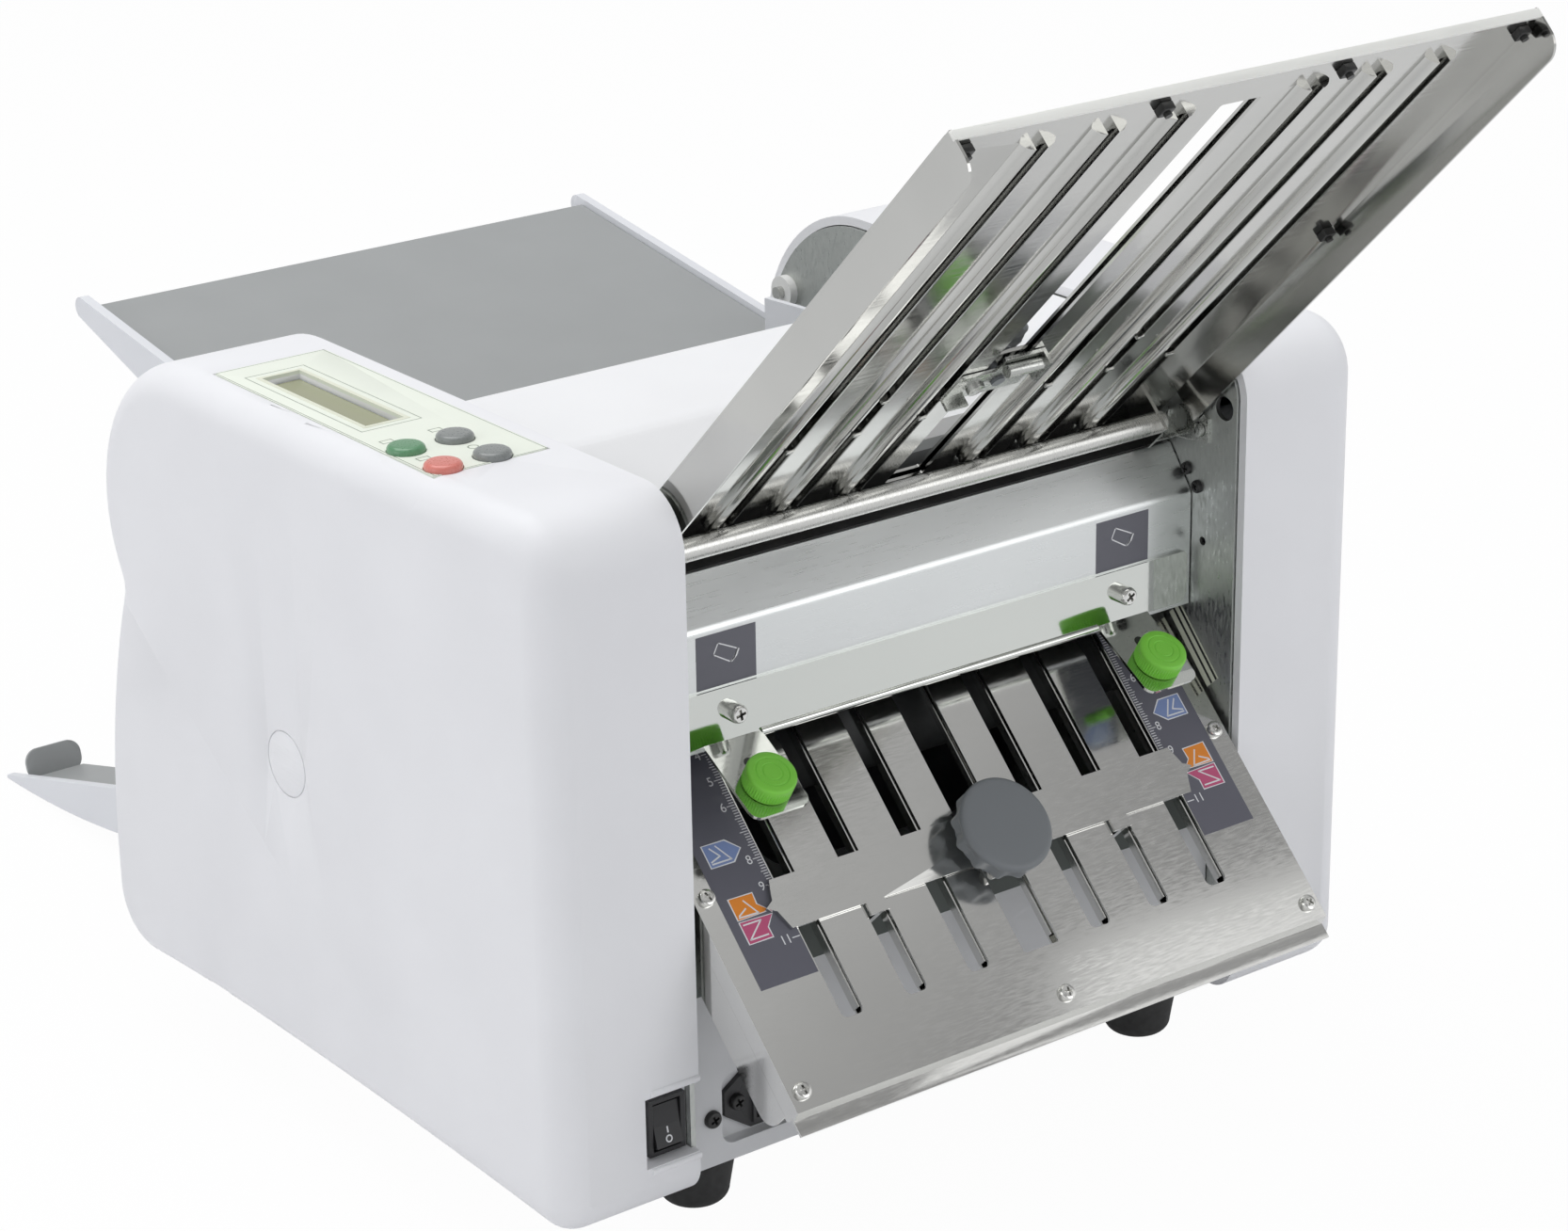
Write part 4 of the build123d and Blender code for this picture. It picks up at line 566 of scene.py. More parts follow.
# %% Smooth skins for what shows
softened = {
    "left_cover": 0.0004, "right_cover": 0.0004, "top_cover": 0.0004, "lower_plate_cover": 0.00015,
    "lower_plate_back": 0.0001, "upper_plate_front": 0.0001, "upper_plate_back": 0.00015,
    "lower_stop_bar": 0.00015, "upper_stop_bar": 0.00015, "deflector_cover": 0.00015,
    "retaining_bar": 0.0002, "feed_table": 0.0002, "feed_table_rails": 0.0006, "delivery_tray": 0.0006,
    "delivery_tray_plate": 0.0002, "left_paper_guide": 0.0003, "right_paper_guide": 0.0003,
    "feet": 0.0, "base_pan": 0.0003, "start_button": 0.0, "stop_button": 0.0, "mode_button": 0.0,
    "clear_button": 0.0, "control_panel": 0.0, "cross_rod": 0.0, "plate_hooks": 0.0002,
    "upper_clamp": 0.0002, "switch_body": 0.0002, "rocker": 0.0003, "inlet_socket": 0.0003,
    "right_side_frame": 0.0002, "left_side_frame": 0.0002,
}
for node, bevel in softened.items():
    smooth_copy(node, frame["nodes"][node].data.materials[0], bevel)
print("smooth skins:", len(softened))

# %% [markdown]
# ## The floor
#
# A pale floor carries the machine and its shadow. For the camera and for reflections most of its
# brightness comes from a little emission, so it reads as white without more light on the machine.

# %% Floor
bm = bmesh.new()
bmesh.ops.create_grid(bm, x_segments=1, y_segments=1, size=12)
mesh = bpy.data.meshes.new("floor")
bm.to_mesh(mesh)
bm.free()
floor = bpy.data.objects.new("floor", mesh)
bpy.context.scene.collection.objects.link(floor)
floor_white = new_finish("floor_white", (0.86, 0.86, 0.87), 0.9)
tree = floor_white.node_tree
glow = add(tree, "ShaderNodeEmission")
glow.inputs["Color"].default_value = (1, 1, 1, 1)
ray = add(tree, "ShaderNodeLightPath")
seen = add(tree, "ShaderNodeMath", operation="MAXIMUM")
share = add(tree, "ShaderNodeMath", operation="MULTIPLY")
share.inputs[1].default_value = 0.97
mirrored = add(tree, "ShaderNodeMath", operation="MULTIPLY")
mirrored.inputs[1].default_value = 0.40
either = add(tree, "ShaderNodeMath", operation="MAXIMUM")
blend = add(tree, "ShaderNodeMixShader")
tree.links.new(ray.outputs["Is Camera Ray"], seen.inputs[0])
tree.links.new(ray.outputs["Is Transmission Ray"], seen.inputs[1])
tree.links.new(seen.outputs[0], share.inputs[0])
tree.links.new(ray.outputs["Is Glossy Ray"], mirrored.inputs[0])
tree.links.new(share.outputs[0], either.inputs[0])
tree.links.new(mirrored.outputs[0], either.inputs[1])
tree.links.new(either.outputs[0], blend.inputs["Fac"])
tree.links.new(tree.nodes["Principled BSDF"].outputs[0], blend.inputs[1])
tree.links.new(glow.outputs[0], blend.inputs[2])
tree.links.new(blend.outputs[0], tree.nodes["Material Output"].inputs["Surface"])
floor.data.materials.append(floor_white)
print("floor size", floor.dimensions[:])

# %% [markdown]
# ## The channel sheet of the lower plate
#
# Under the cover lies a sheet with an opening for each stop finger and a rounded lip along one side of
# it, which guides the paper over the edge. A flat sheet with openings is quickest made from one
# square: planes cut it along every edge of every opening, the pieces inside are deleted, and the rest is
# extruded to its thickness. That leaves clean, flat faces, which a boolean seldom does.

# %% Slotted sheet


def thicken(bm, faces, by):
    """Extrude these faces by a vector."""
    grown = bmesh.ops.extrude_face_region(bm, geom=faces)["geom"]
    bmesh.ops.translate(bm, verts=[g for g in grown if isinstance(g, bmesh.types.BMVert)], vec=by)


def slotted_sheet(x, y, z, openings):
    """A flat sheet with rectangular openings. z is (lower, upper) face."""
    bm = bmesh.new()
    middle = Matrix.Translation((sum(x) / 2, sum(y) / 2, z[0]))
    bmesh.ops.create_grid(bm, x_segments=1, y_segments=1, size=0.5,
                          matrix=middle @ Matrix.Diagonal((x[1] - x[0], y[1] - y[0], 1, 1)))
    cuts = {(edge, axis) for opening in openings for axis in (0, 1) for edge in opening[axis]}
    for edge, axis in sorted(cuts):
        spot, way = ((edge, 0, 0), (1, 0, 0)) if axis == 0 else ((0, edge, 0), (0, 1, 0))
        bmesh.ops.bisect_plane(bm, geom=bm.verts[:] + bm.edges[:] + bm.faces[:], plane_co=spot, plane_no=way)
    inside = []
    for face in bm.faces:
        c = face.calc_center_median()
        if any(ox[0] < c.x < ox[1] and oy[0] < c.y < oy[1] for ox, oy in openings):
            inside.append(face)
    bmesh.ops.delete(bm, geom=inside, context="FACES")
    bmesh.ops.dissolve_limit(bm, angle_limit=0.01, verts=bm.verts, edges=bm.edges)
    thicken(bm, bm.faces[:], (0, 0, z[1] - z[0]))
    return bm


def lip(bm, x, y, z, high=3.0, wide=4.6):
    """A rounded lip on the sheet: upright on its left side, falling away to the right."""
    line = [(0, 0), (0, 0.88), (0.06, 0.97), (0.16, 1.0), (0.34, 0.97), (0.55, 0.80), (0.75, 0.52),
            (0.9, 0.24), (1.0, 0)]
    face = bm.faces.new([bm.verts.new((x + wide * a, y[0], z + high * b)) for a, b in line])
    thicken(bm, [face], (0, y[1] - y[0], 0))


# %% Channel sheet
channel_face = -5.2
slot_low, slot_high = -51.0, 60.0
lip_start, lip_low, lip_high = 4.5, -48.4, 62.0
centre_half = 8.5
lower_screw_spots = ((-114.0, 2.8), (114.0, 2.8), (-113.8, -69.0), (113.8, -69.0), (0.0, -69.0))
openings = [((c - 2.6, c + lip_start), (slot_low, slot_high)) for c in slot_centres]
openings.append(((-centre_half, centre_half), (slot_low, slot_high)))
openings += [((c + lip_start, c + 9.1), (slot_low, lip_low)) for c in slot_centres]
bm = slotted_sheet((-117.8, 117.8), (-73.5, 84.0), (channel_face - 1.0, channel_face), openings)
for centre in slot_centres:
    lip(bm, centre + lip_start, (lip_low, lip_high), channel_face)
lip(bm, centre_half, (-47.0, lip_high), channel_face, 1.9, 4.0)
for x, y in lower_screw_spots:
    bmesh.ops.create_cone(bm, cap_ends=True, segments=24, radius1=3.2, radius2=3.2, depth=4.1,
                          matrix=Matrix.Translation((x, y, -3.12)))
print("channel sheet, open edges:", sum(not e.is_manifold for e in bm.edges))
sheet = take("lower_channel_sheet", bm, plate_steel, "machine", lower_plate, 40.0)
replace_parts(sheet, "lower_plate_front")

# %% [markdown]
# ## Closed edges
#
# The folded sides of both plates close the gap between their sheets. The outer end of the upper
# plate has a hemmed edge in a pale, barely metallic steel, which paints its highlight. A dark band on
# the top of the base's front wall, where it shows through the slots, is painted shade. A black strip
# on the deflector's top flange is painted shade in the gap seen there.

# %% Side strips, hem and painted shade


def slab(bm, x, y, z, turned=0.0, rounded=0.0, steps=2):
    """A block from three (low, high) pairs, in millimetres, turned about its centre if asked."""
    mid = Vector((sum(x) / 2, sum(y) / 2, sum(z) / 2))
    size = (*(p[1] - p[0] for p in (x, y, z)), 1)
    place = Matrix.Translation(mid) @ Matrix.Rotation(turned, 4, "Z") @ Matrix.Diagonal(size)
    verts = bmesh.ops.create_cube(bm, size=1, matrix=place)["verts"]
    if rounded:
        edges = list({e for v in verts for e in v.link_edges})
        bmesh.ops.bevel(bm, geom=edges, offset=rounded, segments=steps, profile=0.5, affect="EDGES",
                        material=-1)


side_strips = {"lower": (lower_plate, plate_steel, (-75.4, 40.0), (-8.3, -3.9)),
               "upper": (upper_plate, fold_steel, (-244.6, -14.0), (-8.2, -5.3))}
for plate_name, (place, finish, y, z) in side_strips.items():
    bm = bmesh.new()
    for x in ((-118.98, -118.1), (118.1, 118.98)):
        slab(bm, x, y, z)
    take(f"{plate_name}_plate_sides", bm, finish, "machine", place=place)
bm = bmesh.new()
slab(bm, (-119.1, 119.1), (-245.1, -243.9), (-9.0, -5.6), rounded=0.3, steps=3)
take("upper_plate_hem", bm, painted_highlight_steel, "machine", place=upper_plate)
# Painted shade: a black strip on the deflector's top flange darkens the gap seen there.
bm = bmesh.new()
slab(bm, (-118.0, 118.0), (38.9, 46.9), (227.0, 227.5))
take("deflector_painted_shade", bm, foot_rubber, "machine", place=drawing)
# Painted shade: a dark band where the slots look onto the shaded upper part of the base's front wall.
bm = bmesh.new()
slab(bm, (-116.0, 116.0), (13.7, 14.0), (86.0, 104.0))
take("base_painted_shade_band", bm, painted_shade_grey, "machine", place=drawing)
print("edges closed")

# %% [markdown]
# ## Printed scales on the lower plate
#
# A dark foil runs down each side of the plate. The operator reads the stop's pointer against
# centimetre numbers, and three coloured tags show where the stop stands for the common folds. Print
# is built as very thin slabs: a hundredth of a millimetre more for each layer keeps them from
# fighting for the same surface. All marks of one colour are one piece.

# %% Lines and flat shapes


def stroke(bm, a, b, width, z):
    """A straight printed line from a to b."""
    a, b = Vector(a), Vector(b)
    mid, run = (a + b) / 2, b - a
    turned = Vector((1, 0)).angle_signed(run) if run.length else 0.0
    half = run.length / 2 + width / 2
    slab(bm, (mid.x - half, mid.x + half), (mid.y - width / 2, mid.y + width / 2), z, -turned)


def patch(bm, points, z):
    """A flat shape with straight sides, given thickness by extruding it."""
    face = bm.faces.new([bm.verts.new((x, y, z[0])) for x, y in points])
    thicken(bm, [face], (0, 0, z[1] - z[0]))


# %% Foils
foil_inner, foil_outer = 86.9, 110.6
foil_low, foil_high = -33.0, 74.0
for name, sign in (("left_scale_foil", -1), ("right_scale_foil", 1)):
    bm = bmesh.new()
    x = tuple(sorted((sign * foil_inner, sign * foil_outer)))
    slab(bm, x, (foil_low, foil_high), (0, 0.10))
    take(name, bm, scale_foil, "machine", place=lower_plate)
print("foils are", foil_outer - foil_inner, "mm wide")

# %% [markdown]
# The numbers count centimetres of the folded edge. The line for 5 is 40.67 mm above the middle of the
# plate, and every millimetre from 3.6 to 9 has its own tick. 11 has a line of its own.

# %% Ticks and numbers


def scale_at(centimetres):
    """Height on the plate of a number of the scale."""
    return 40.67 - 10 * (centimetres - 5)


def number(text, x, y, size, z):
    """A number as a mesh in the plate's frame."""
    curve = bpy.data.curves.new("number", "FONT")
    curve.body = text
    curve.size = size
    curve.align_x = "CENTER"
    curve.align_y = "CENTER"
    curve.extrude = 0.01
    holder = bpy.data.objects.new("number", curve)
    bpy.context.scene.collection.objects.link(holder)
    bpy.context.view_layer.update()
    mesh = bpy.data.meshes.new_from_object(holder)
    bpy.data.objects.remove(holder)
    mesh.transform(Matrix.Translation((x, y, z)))
    return mesh


for name, sign in (("left_scale_marks", -1), ("right_scale_marks", 1)):
    bm = bmesh.new()
    for step in range(-14, 41):
        centimetres = 5 + step / 10
        whole, half = step % 10 == 0, step % 5 == 0
        length = 3.3 if whole else 2.6 if half else 2.0
        y = scale_at(centimetres)
        x = tuple(sorted((sign * (foil_inner + 0.2), sign * (foil_inner + 0.2 + length))))
        slab(bm, x, (y - 0.14, y + 0.14), (0.10, 0.12))
    y = scale_at(11)
    x = tuple(sorted((sign * (foil_inner + 0.2), sign * (foil_inner + 3.4))))
    slab(bm, x, (y - 0.18, y + 0.18), (0.10, 0.12))
    for text in ("4", "5", "6", "8", "9", "11"):
        out_by = 5.0 if text != "11" else 5.9
        mesh = number(text, sign * (foil_inner + out_by), scale_at(int(text)), 4.7, 0.12)
        bm.from_mesh(mesh)
        bpy.data.meshes.remove(mesh)
    take(name, bm, print_white, "machine", place=lower_plate)
print("scale from", scale_at(3.6), "to", scale_at(11), "mm")

# %% [markdown]
# The tags are small pennants with a white rim and a zigzag, the usual sign for a folded sheet. Each
# points at the place where the pointer has to stand. They are drawn once for the left side and
# mirrored for the right.

# %% Fold tags


def inset_shape(points, amount):
    """The same outline, drawn in towards its middle."""
    middle = sum((Vector(p) for p in points), Vector((0, 0))) / len(points)
    return [tuple(Vector(p) + (middle - Vector(p)).normalized() * amount) for p in points]


tags = {
    "blue": (print_blue, [(107.1, 20.3), (97.2, 20.3), (92.5, 15.8), (97.2, 11.6), (107.1, 11.7)],
             [[(101.6, 18.9), (97.9, 13.1), (105.6, 13.1)], [(104.2, 18.6), (101.6, 15.2), (105.6, 13.9)]]),
    "orange": (print_orange, [(106.9, 0.1), (96.5, 0.0), (96.7, -4.4), (93.0, -7.9), (106.9, -8.2)],
               [[(101.3, -2.0), (97.9, -7.4), (105.6, -7.2)], [(101.9, -4.8), (105.3, -6.6)]]),
    "magenta": (print_magenta, [(106.9, -8.6), (92.9, -9.0), (96.6, -13.1), (96.6, -17.1), (106.9, -17.1)],
                [[(105.4, -10.0), (98.4, -10.0), (105.4, -15.5), (98.2, -15.5)]]),
}
print("tags:", list(tags))

# %% Tags in place
for side_name, sign in (("left", -1), ("right", 1)):
    rims = bmesh.new()
    for colour, (finish, outline, zigzags) in tags.items():
        shape = [(sign * x, y) for x, y in outline]
        patch(rims, shape, (0.10, 0.125))
        bm = bmesh.new()
        patch(bm, inset_shape(shape, 0.55), (0.125, 0.14))
        take(f"{side_name}_{colour}_tag", bm, finish, "machine", place=lower_plate)
        for line in zigzags:
            points = [(sign * x, y) for x, y in line]
            for a, b in zip(points, points[1:]):
                stroke(rims, a, b, 0.55, (0.125, 0.155))
    take(f"{side_name}_tag_rims", rims, print_white, "machine", place=lower_plate)
print("tags placed")

# %% [markdown]
# ## Label plates on the deflector
#
# Two dark plates carry the sign of a sheet with a turned corner, which tells the operator which way
# up to put the deflector. The word under it is left out.

# %% Label plates
label_z = (190.0, 209.0)
deflector_front = 26.3
upright = drawing @ Matrix.Translation((0, deflector_front, 0)) @ Matrix.Rotation(radians(90), 4, "X")
for side_name, sign in (("left", -1), ("right", 1)):
    middle = sign * 87.7
    bm = bmesh.new()
    slab(bm, (middle - 12.3, middle + 12.3), label_z, (0, 0.12))
    take(f"{side_name}_label", bm, label_foil, "machine", place=upright)
    bm = bmesh.new()
    sheet = [(-3.3, 3.9), (4.7, 0.1), (3.3, -2.7), (1.7, -3.9), (-5.2, 0.1)]
    sheet = [(middle + x, 201.4 + y) for x, y in sheet]
    for a, b in zip(sheet, sheet[1:] + sheet[:1]):
        stroke(bm, a, b, 0.42, (0.12, 0.15))
    turned_corner = [(5.5, -0.1), (4.6, 0.3), (3.2, -2.3), (1.7, -4.0), (2.4, -4.1), (4.4, -2.4)]
    patch(bm, [(middle + x, 201.4 + y) for x, y in turned_corner], (0.12, 0.15))
    take(f"{side_name}_label_sign", bm, print_white, "machine", place=upright)
print("labels at height", label_z)

# %% [markdown]
# ## Turned knobs
#
# A knob is a turned shape first and a moulded one second. Its profile, a line of radius and height,
# is spun about the upright axis. Then the points of the side are pulled in along the curve of a
# wave: twelve wide hollows for the clamp knob, fine teeth for the thumbscrews. The wave fades out
# towards the top, so the upper rim stays round, as it does on the real knob. Cutting the hollows with
# cylinders would be as quick, but would leave hard corners that a mould can't give.

# %% Lathe


def lathe(profile, steps):
    """A turned form: a line of (radius, height) points spun about z."""
    bm = bmesh.new()
    verts = [bm.verts.new((r, 0, z)) for r, z in profile]
    edges = [bm.edges.new(pair) for pair in zip(verts, verts[1:])]
    bmesh.ops.spin(bm, geom=verts + edges, axis=(0, 0, 1), cent=(0, 0, 0), angle=2 * pi, steps=steps,
                   use_merge=True)
    bmesh.ops.remove_doubles(bm, verts=bm.verts, dist=0.001)
    return bm


def hollow_side(bm, teeth, depth, low, high, least, power=1.0):
    """Pull the side in along a wave between two heights; it fades out over the upper part."""
    for v in bm.verts:
        r = v.co.xy.length
        if r > least and low <= v.co.z <= high:
            wave = (0.5 - 0.5 * cos(teeth * v.co.xy.to_3d().to_2d().angle_signed(Vector((1, 0))))) ** power
            fade = min(1.0, (high - v.co.z) / (0.3 * (high - low)))
            v.co.xy *= 1 - depth * wave * fade / r


# %% Clamp knobs
head = [(9.0, 1.9), (9.0, 5.5), (15.6, 5.5), (17.0, 5.9), (17.7, 6.8), (17.8, 8.0), (17.8, 9.3),
        (17.8, 10.6), (17.8, 11.5), (17.8, 12.2), (17.8, 12.9), (17.8, 13.6), (17.6, 14.4),
        (17.1, 15.0), (16.4, 15.32), (15.4, 15.4), (8.0, 15.4), (0.0, 15.4)]
washer = [(2.5, -2.9), (10.5, -2.9), (10.5, -1.3), (2.5, -1.3), (2.5, 1.9)]
knobs = {
    "lower_stop_knob": ("lower_knob", lower_plate @ Matrix.Translation((0, -9.5, 0)),
                        [(0, -4.2), (2.5, -4.2)] + washer),
    "upper_stop_knob": ("upper_knob", upper_plate @ Matrix.Translation((0, -70.0, -5.2)),
                        [(0, -6.1), (2.5, -6.1), (2.5, 1.9)]),
}
for node, (body, place, shank) in knobs.items():
    bm = lathe(shank + head, 144)
    hollow_side(bm, 12, 1.9, 5.6, 13.3, 14.0, 0.8)
    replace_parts(take(node + "_turned", bm, knob_grey, body, place), node)
print("knobs turned")

# %% Thumbscrews
tongue = drawing @ Matrix.Translation((0, 24.8, 170.6)) @ Matrix.Rotation(radians(31), 4, "X")
thumb = [(0, -8), (2, -8), (2, 0.3), (8.5, 0.3), (8.95, 0.7), (8.95, 1.2), (8.95, 3.6), (8.95, 5.8),
         (8.95, 6.4), (8.7, 7.0), (8.2, 7.3), (6.3, 7.3), (6.1, 7.1), (5.7, 7.1), (5.5, 7.3), (3.9, 7.3),
         (3.7, 7.1), (3.3, 7.1), (3.1, 7.3), (0, 7.3)]
for side_name, sign in (("left", -1), ("right", 1)):
    bm = lathe(thumb, 112)
    hollow_side(bm, 56, 0.42, 0.6, 6.2, 8.0)
    place = tongue @ Matrix.Translation((sign * 87.0, -21.5, 0))
    node = f"{side_name}_thumbscrew"
    screw = take(node + "_turned", bm, thumb_green, f"{side_name}_thumb", place, 40.0)
    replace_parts(screw, node)
    # Painted shade: a flat black patch on the tongue stands for the open slot beyond the screw.
    bm = bmesh.new()
    end = [(2.1 * cos(a), 2.1 * sin(a)) for a in (radians(d) for d in range(0, 181, 20))]
    patch(bm, [(x, 10.4 + y) for x, y in end] + [(-2.1, 6.0), (2.1, 6.0)], (0.02, 0.06))
    take(f"{side_name}_painted_slot_shade", bm, screw_black, "machine", place=place)
print("thumbscrews turned")

# %% [markdown]
# ## Screws
#
# The plates and the bar are held by cross-recess screws. A recess can be cut with a boolean, but it is
# cleaner to draw it: the top of the head is the flat face between a circle and a cross, filled by one
# operator. The circle's edge is then extruded down to make the head, and the cross's edge is
# extruded in to make the recess.

# %% Cross-recess screws


def sink(bm, edges, factor, drop):
    """Extrude a loop of edges, scale the new loop about the axis and move it along z."""
    grown = bmesh.ops.extrude_edge_only(bm, edges=edges)["geom"]
    verts = [g for g in grown if isinstance(g, bmesh.types.BMVert)]
    bmesh.ops.scale(bm, verts=verts, vec=(factor, factor, 1))
    bmesh.ops.translate(bm, verts=verts, vec=(0, 0, drop))
    return [g for g in grown if isinstance(g, bmesh.types.BMEdge)]


def cross_screw(place, radius, height, shank, arm):
    """A pan head on z = 0 of its place, with a shank under it and a cross recess on top."""
    bm = bmesh.new()
    flat = 0.74
    circle = bmesh.ops.create_circle(bm, segments=28, radius=radius * flat,
                                     matrix=Matrix.Translation((0, 0, height)))["verts"]
    ring = list({e for v in circle for e in v.link_edges})
    w, a = arm * 0.26, arm
    corners = [(w, a), (-w, a), (-w, w), (-a, w), (-a, -w), (-w, -w),
               (-w, -a), (w, -a), (w, -w), (a, -w), (a, w), (w, w)]
    verts = [bm.verts.new((x, y, height)) for x, y in corners]
    cross = [bm.edges.new(pair) for pair in zip(verts, verts[1:] + verts[:1])]
    bmesh.ops.triangle_fill(bm, edges=ring + cross, use_beauty=True)
    down = sink(bm, cross, 0.62, -0.6 * height)
    bmesh.ops.contextual_create(bm, geom=down)
    side = sink(bm, ring, 0.90 / flat, -0.14 * height)
    side = sink(bm, side, 1 / 0.90, -0.30 * height)
    side = sink(bm, side, 1.0, -0.56 * height)
    side = sink(bm, side, shank[0] / radius, 0)
    side = sink(bm, side, 1.0, -shank[1])
    bmesh.ops.contextual_create(bm, geom=side)
    bmesh.ops.transform(bm, matrix=place, verts=bm.verts)
    return bm


def nut(bm, x, y, low, high, width=6.0):
    """A square nut with softened edges."""
    half = width / 2
    slab(bm, (x - half, x + half), (y - half, y + half), (low, high), rounded=0.35)


def gather(parts):
    """Join several bmeshes into one."""
    whole = bmesh.new()
    for part in parts:
        mesh = bpy.data.meshes.new("part")
        part.to_mesh(mesh)
        part.free()
        whole.from_mesh(mesh)
        bpy.data.meshes.remove(mesh)
    return whole


# %% Screws of the lower plate
heads = []
for n, (x, y) in enumerate(lower_screw_spots):
    place = Matrix.Translation((x, y, 0)) @ Matrix.Rotation(radians(20 + 37 * n), 4, "Z")
    heads.append(cross_screw(place, 3.1, 2.0, (1.5, 11.8), 1.6))
whole = gather(heads)
for x, y in lower_screw_spots:
    nut(whole, x, y, -11.4, -8.8)
piece = take("lower_plate_screws", whole, screw_steel, "machine", lower_plate)
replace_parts(piece, "plate_screws")

# %% Black screws and square nuts of the upper plate
heads = []
spots = [(sign * x, -y) for sign in (-1, 1) for x, y in ((37.0, 239.0), (113.0, 239.0), (113.0, 122.0))]
for n, (x, y) in enumerate(spots):
    place = Matrix.Translation((x, y, -5.2)) @ Matrix.Rotation(radians(50 * n), 4, "Z")
    heads.append(cross_screw(place, 3.1, 0.6, (1.3, 7.6), 1.5))
whole = gather(heads)
for x, y in spots:
    nut(whole, x, y, -11.6, -8.8, 4.6)
piece = take("upper_plate_nuts", whole, screw_black, "machine", upper_plate)
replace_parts(piece, "plate_screws")
print("plate screws:", len(lower_screw_spots) + len(spots))

# %% Screws of the bar and the base
facing = Matrix.Rotation(radians(90), 4, "X")
heads = []
for x, turned in ((-86.6, 12), (86.6, 31)):
    place = Matrix.Translation((x, 24.8, 180.3)) @ facing @ Matrix.Rotation(radians(turned), 4, "Z")
    bm = cross_screw(Matrix.Identity(4), 3.4, 3.4, (3.4, 0.01), 2.0)
    bmesh.ops.translate(bm, verts=[v for v in bm.verts if v.co.z > 0.001], vec=(0, 0, 1.5))
    bmesh.ops.transform(bm, matrix=place, verts=bm.verts)
    heads.append(bm)
piece = take("bar_screw_heads", gather(heads), screw_steel, "machine", drawing)
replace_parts(piece, "bar_screws")
heads = []
for x, z, seat, radius in ((-94.4, 40.0, 17.0, 2.9), (-54.4, 40.0, 17.0, 2.9), (-107.0, 38.5, 14.0, 3.2)):
    place = Matrix.Translation((x, seat, z)) @ facing @ Matrix.Rotation(radians(25), 4, "Z")
    heads.append(cross_screw(place, radius, 2.2, (1.4, 2.0), 1.8))
piece = take("base_screw_heads", gather(heads), screw_black, "machine", drawing)
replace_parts(piece, "base_screws")
print("screw heads ready")

# %% [markdown]
# ## Inside the right side frame
#
# The bare inner side of the frame carries small things that the eye looks for: black screws, and a pale
# strip with two black lines that shows where the lower plate is pushed in. The strip's words are left
# out.

# %% Screws and guide strips on the side frames
strip_top, strip_foot = Vector((34.0, 164.0)), Vector((13.0, 141.0))
strip_along = (strip_foot - strip_top).normalized()
strip_aside = Vector((-strip_along.y, strip_along.x))


def strip_band(bm, x, offset, half, by):
    """A band on a side frame that runs with the strip: at x, this far aside, this half width."""
    ends = ((strip_top, -half), (strip_foot, -half), (strip_foot, half), (strip_top, half))
    corners = [end + strip_aside * (offset + out) for end, out in ends]
    face = bm.faces.new([bm.verts.new((x, p.x, p.y)) for p in corners])
    thicken(bm, [face], (by, 0, 0))


for side_name, sign in (("left", -1), ("right", 1)):
    wall = sign * 121.0
    heads = []
    for n, (y, z, radius) in enumerate(((28.7, 219.3, 2.4), (23.2, 213.7, 2.4), (21.5, 236.0, 2.9))):
        place = Matrix.Translation((wall, y, z)) @ Matrix.Rotation(radians(-90 * sign), 4, "Y") \
            @ Matrix.Rotation(radians(33 * n), 4, "Z")
        heads.append(cross_screw(place, radius, 1.7, (1.2, 0.5), 1.4))
    take(f"{side_name}_frame_screws", gather(heads), screw_black, "machine", drawing)
    bm = bmesh.new()
    strip_band(bm, wall - sign * 0.02, 0.0, 3.8, -sign * 0.12)
    take(f"{side_name}_guide_strip", bm, ivory, "machine", place=drawing)
    bm = bmesh.new()
    for offset in (-2.6, 0.6):
        strip_band(bm, wall - sign * 0.14, offset, 0.55, -sign * 0.05)
    take(f"{side_name}_guide_lines", bm, screw_black, "machine", place=drawing)
print("side frames dressed")

# %% [markdown]
# ## Signs on the switch
#
# A power switch has the bar and the ring that stand for on and off on every machine.

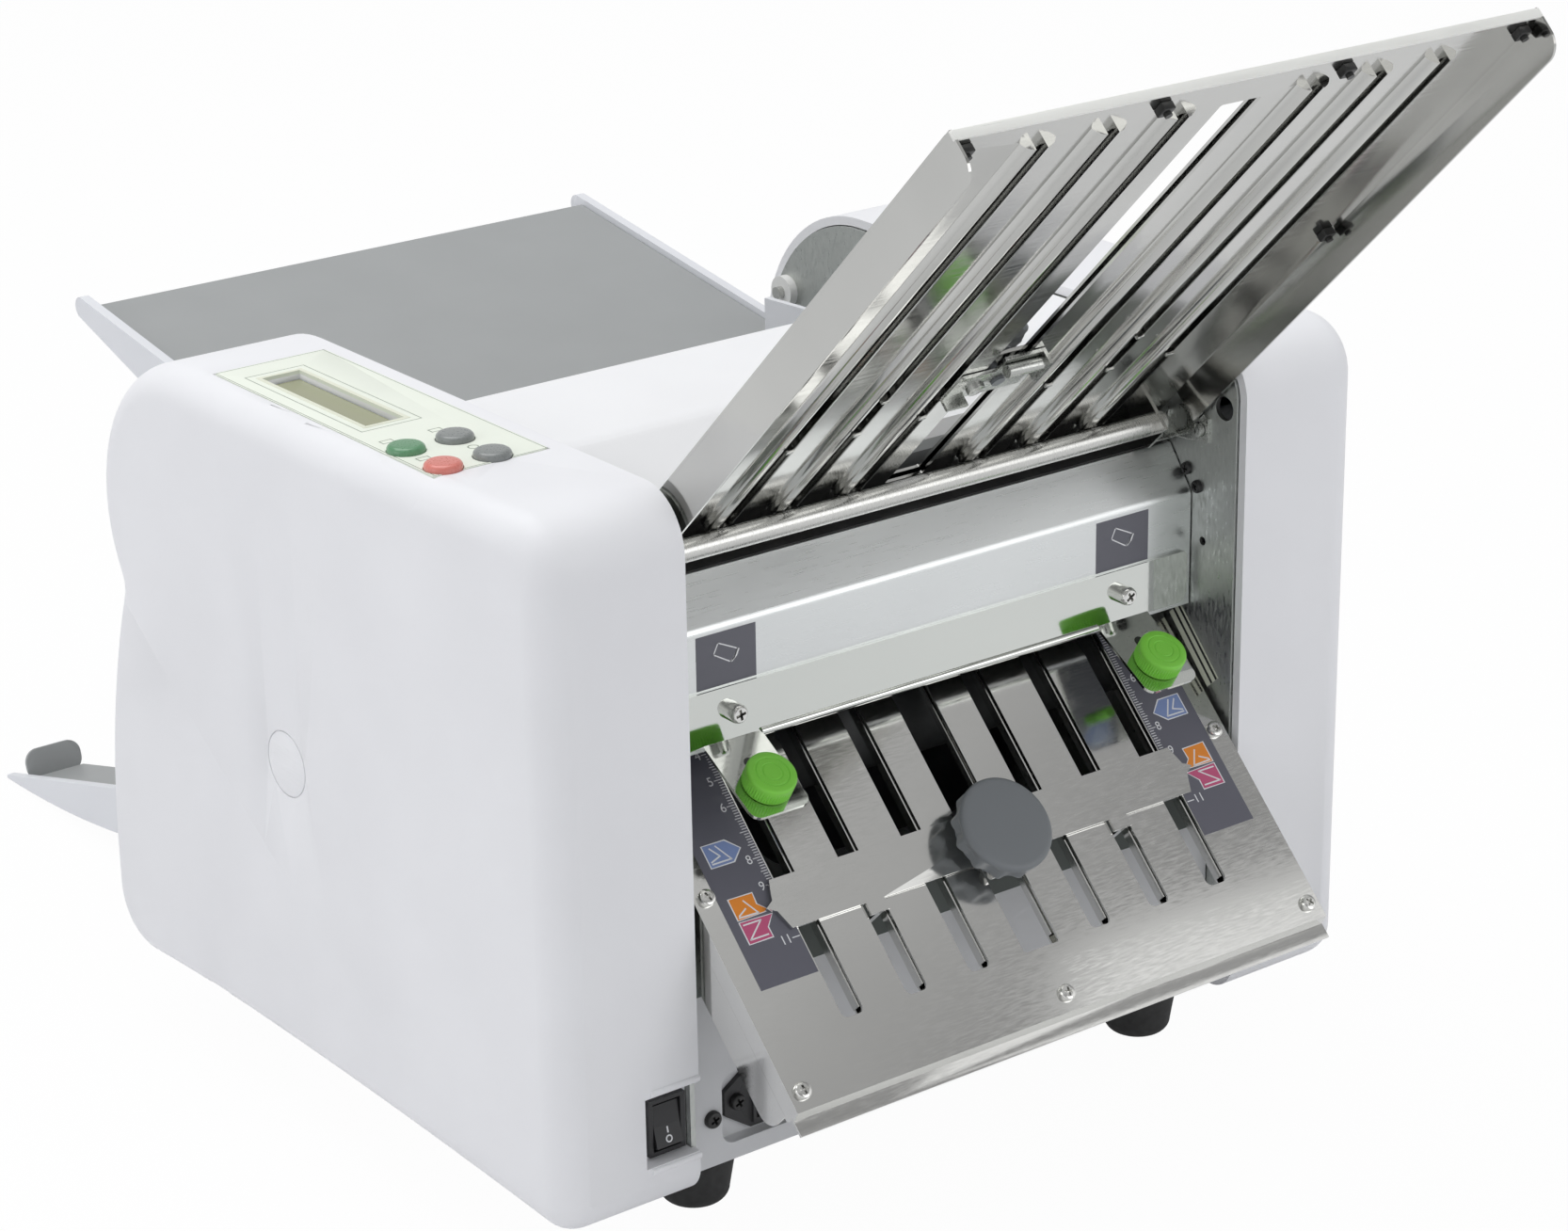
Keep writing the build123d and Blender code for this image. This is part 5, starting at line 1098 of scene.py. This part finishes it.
# %% Switch signs
rocker_slope = Matrix.Rotation(radians(90 - 15.5), 4, "X")
rocker_face = drawing @ Matrix.Translation((-132.4, 4.6, 49.0)) @ rocker_slope
off_place = rocker_face @ Matrix.Translation((0, -5.0, 0))
bm = bmesh.new()
slab(bm, (-0.3, 0.3), (-2.9, -0.7), (0, 0.05))
take("switch_on_sign", bm, print_white, "switch_rocker", place=rocker_face)
bm = lathe([(0.85, 0), (1.35, 0), (1.35, 0.05), (0.85, 0.05), (0.85, 0)], 40)
take("switch_off_sign", bm, print_white, "switch_rocker", place=off_place)
print("switch signs ready")

# %% [markdown]
# ## Display and panel print
#
# The foil of the control panel has a window for the display. An ivory frame runs round the window
# and a thin line round that. The face of the display lies under it. Each key has a small sign: three have
# the outline of a sheet, the fourth has a ring.

# %% Display
panel_top = 271.2
line_z = (panel_top, panel_top + 0.03)
bm = bmesh.new()
slab(bm, (-162.6, -148.4), (124.4, 191.6), (268.0, 268.15))
take("lcd_field", bm, lcd_olive, "machine", place=drawing)
bm = bmesh.new()
for x, y in (((-164.6, -163.0), (122.4, 193.6)), ((-148.0, -146.4), (122.4, 193.6)),
             ((-163.0, -148.0), (122.4, 124.0)), ((-163.0, -148.0), (192.0, 193.6))):
    slab(bm, x, y, (panel_top, panel_top + 0.12))
take("window_frame", bm, ivory, "machine", place=drawing)
bm = bmesh.new()
box = [(-167.2, 119.6), (-143.8, 119.6), (-143.8, 196.4), (-167.2, 196.4)]
for a, b in zip(box, box[1:] + box[:1]):
    stroke(bm, a, b, 0.35, line_z)
rim = [(-172.4, 66.6), (-129.1, 66.6), (-129.1, 207.4), (-172.4, 207.4)]
for a, b in zip(rim, rim[1:] + rim[:1]):
    stroke(bm, a, b, 0.3, line_z)
for x, y in ((-166.0, 94.0), (-166.0, 71.5), (-147.0, 94.0)):
    sign_box = [(x - 2.2, y + 10.4), (x + 2.2, y + 10.4), (x + 2.2, y + 13.2), (x - 2.2, y + 13.2)]
    for a, b in zip(sign_box, sign_box[1:] + sign_box[:1]):
        stroke(bm, a, b, 0.4, line_z)
take("panel_lines", bm, line_grey, "machine", place=drawing)
bm = lathe([(1.5, 0), (2.0, 0), (2.0, 0.03), (1.5, 0.03), (1.5, 0)], 40)
ring_place = drawing @ Matrix.Translation((-147.0, 83.0, panel_top))
take("clear_key_sign", bm, line_grey, "machine", place=ring_place)
print("panel top at", panel_top)
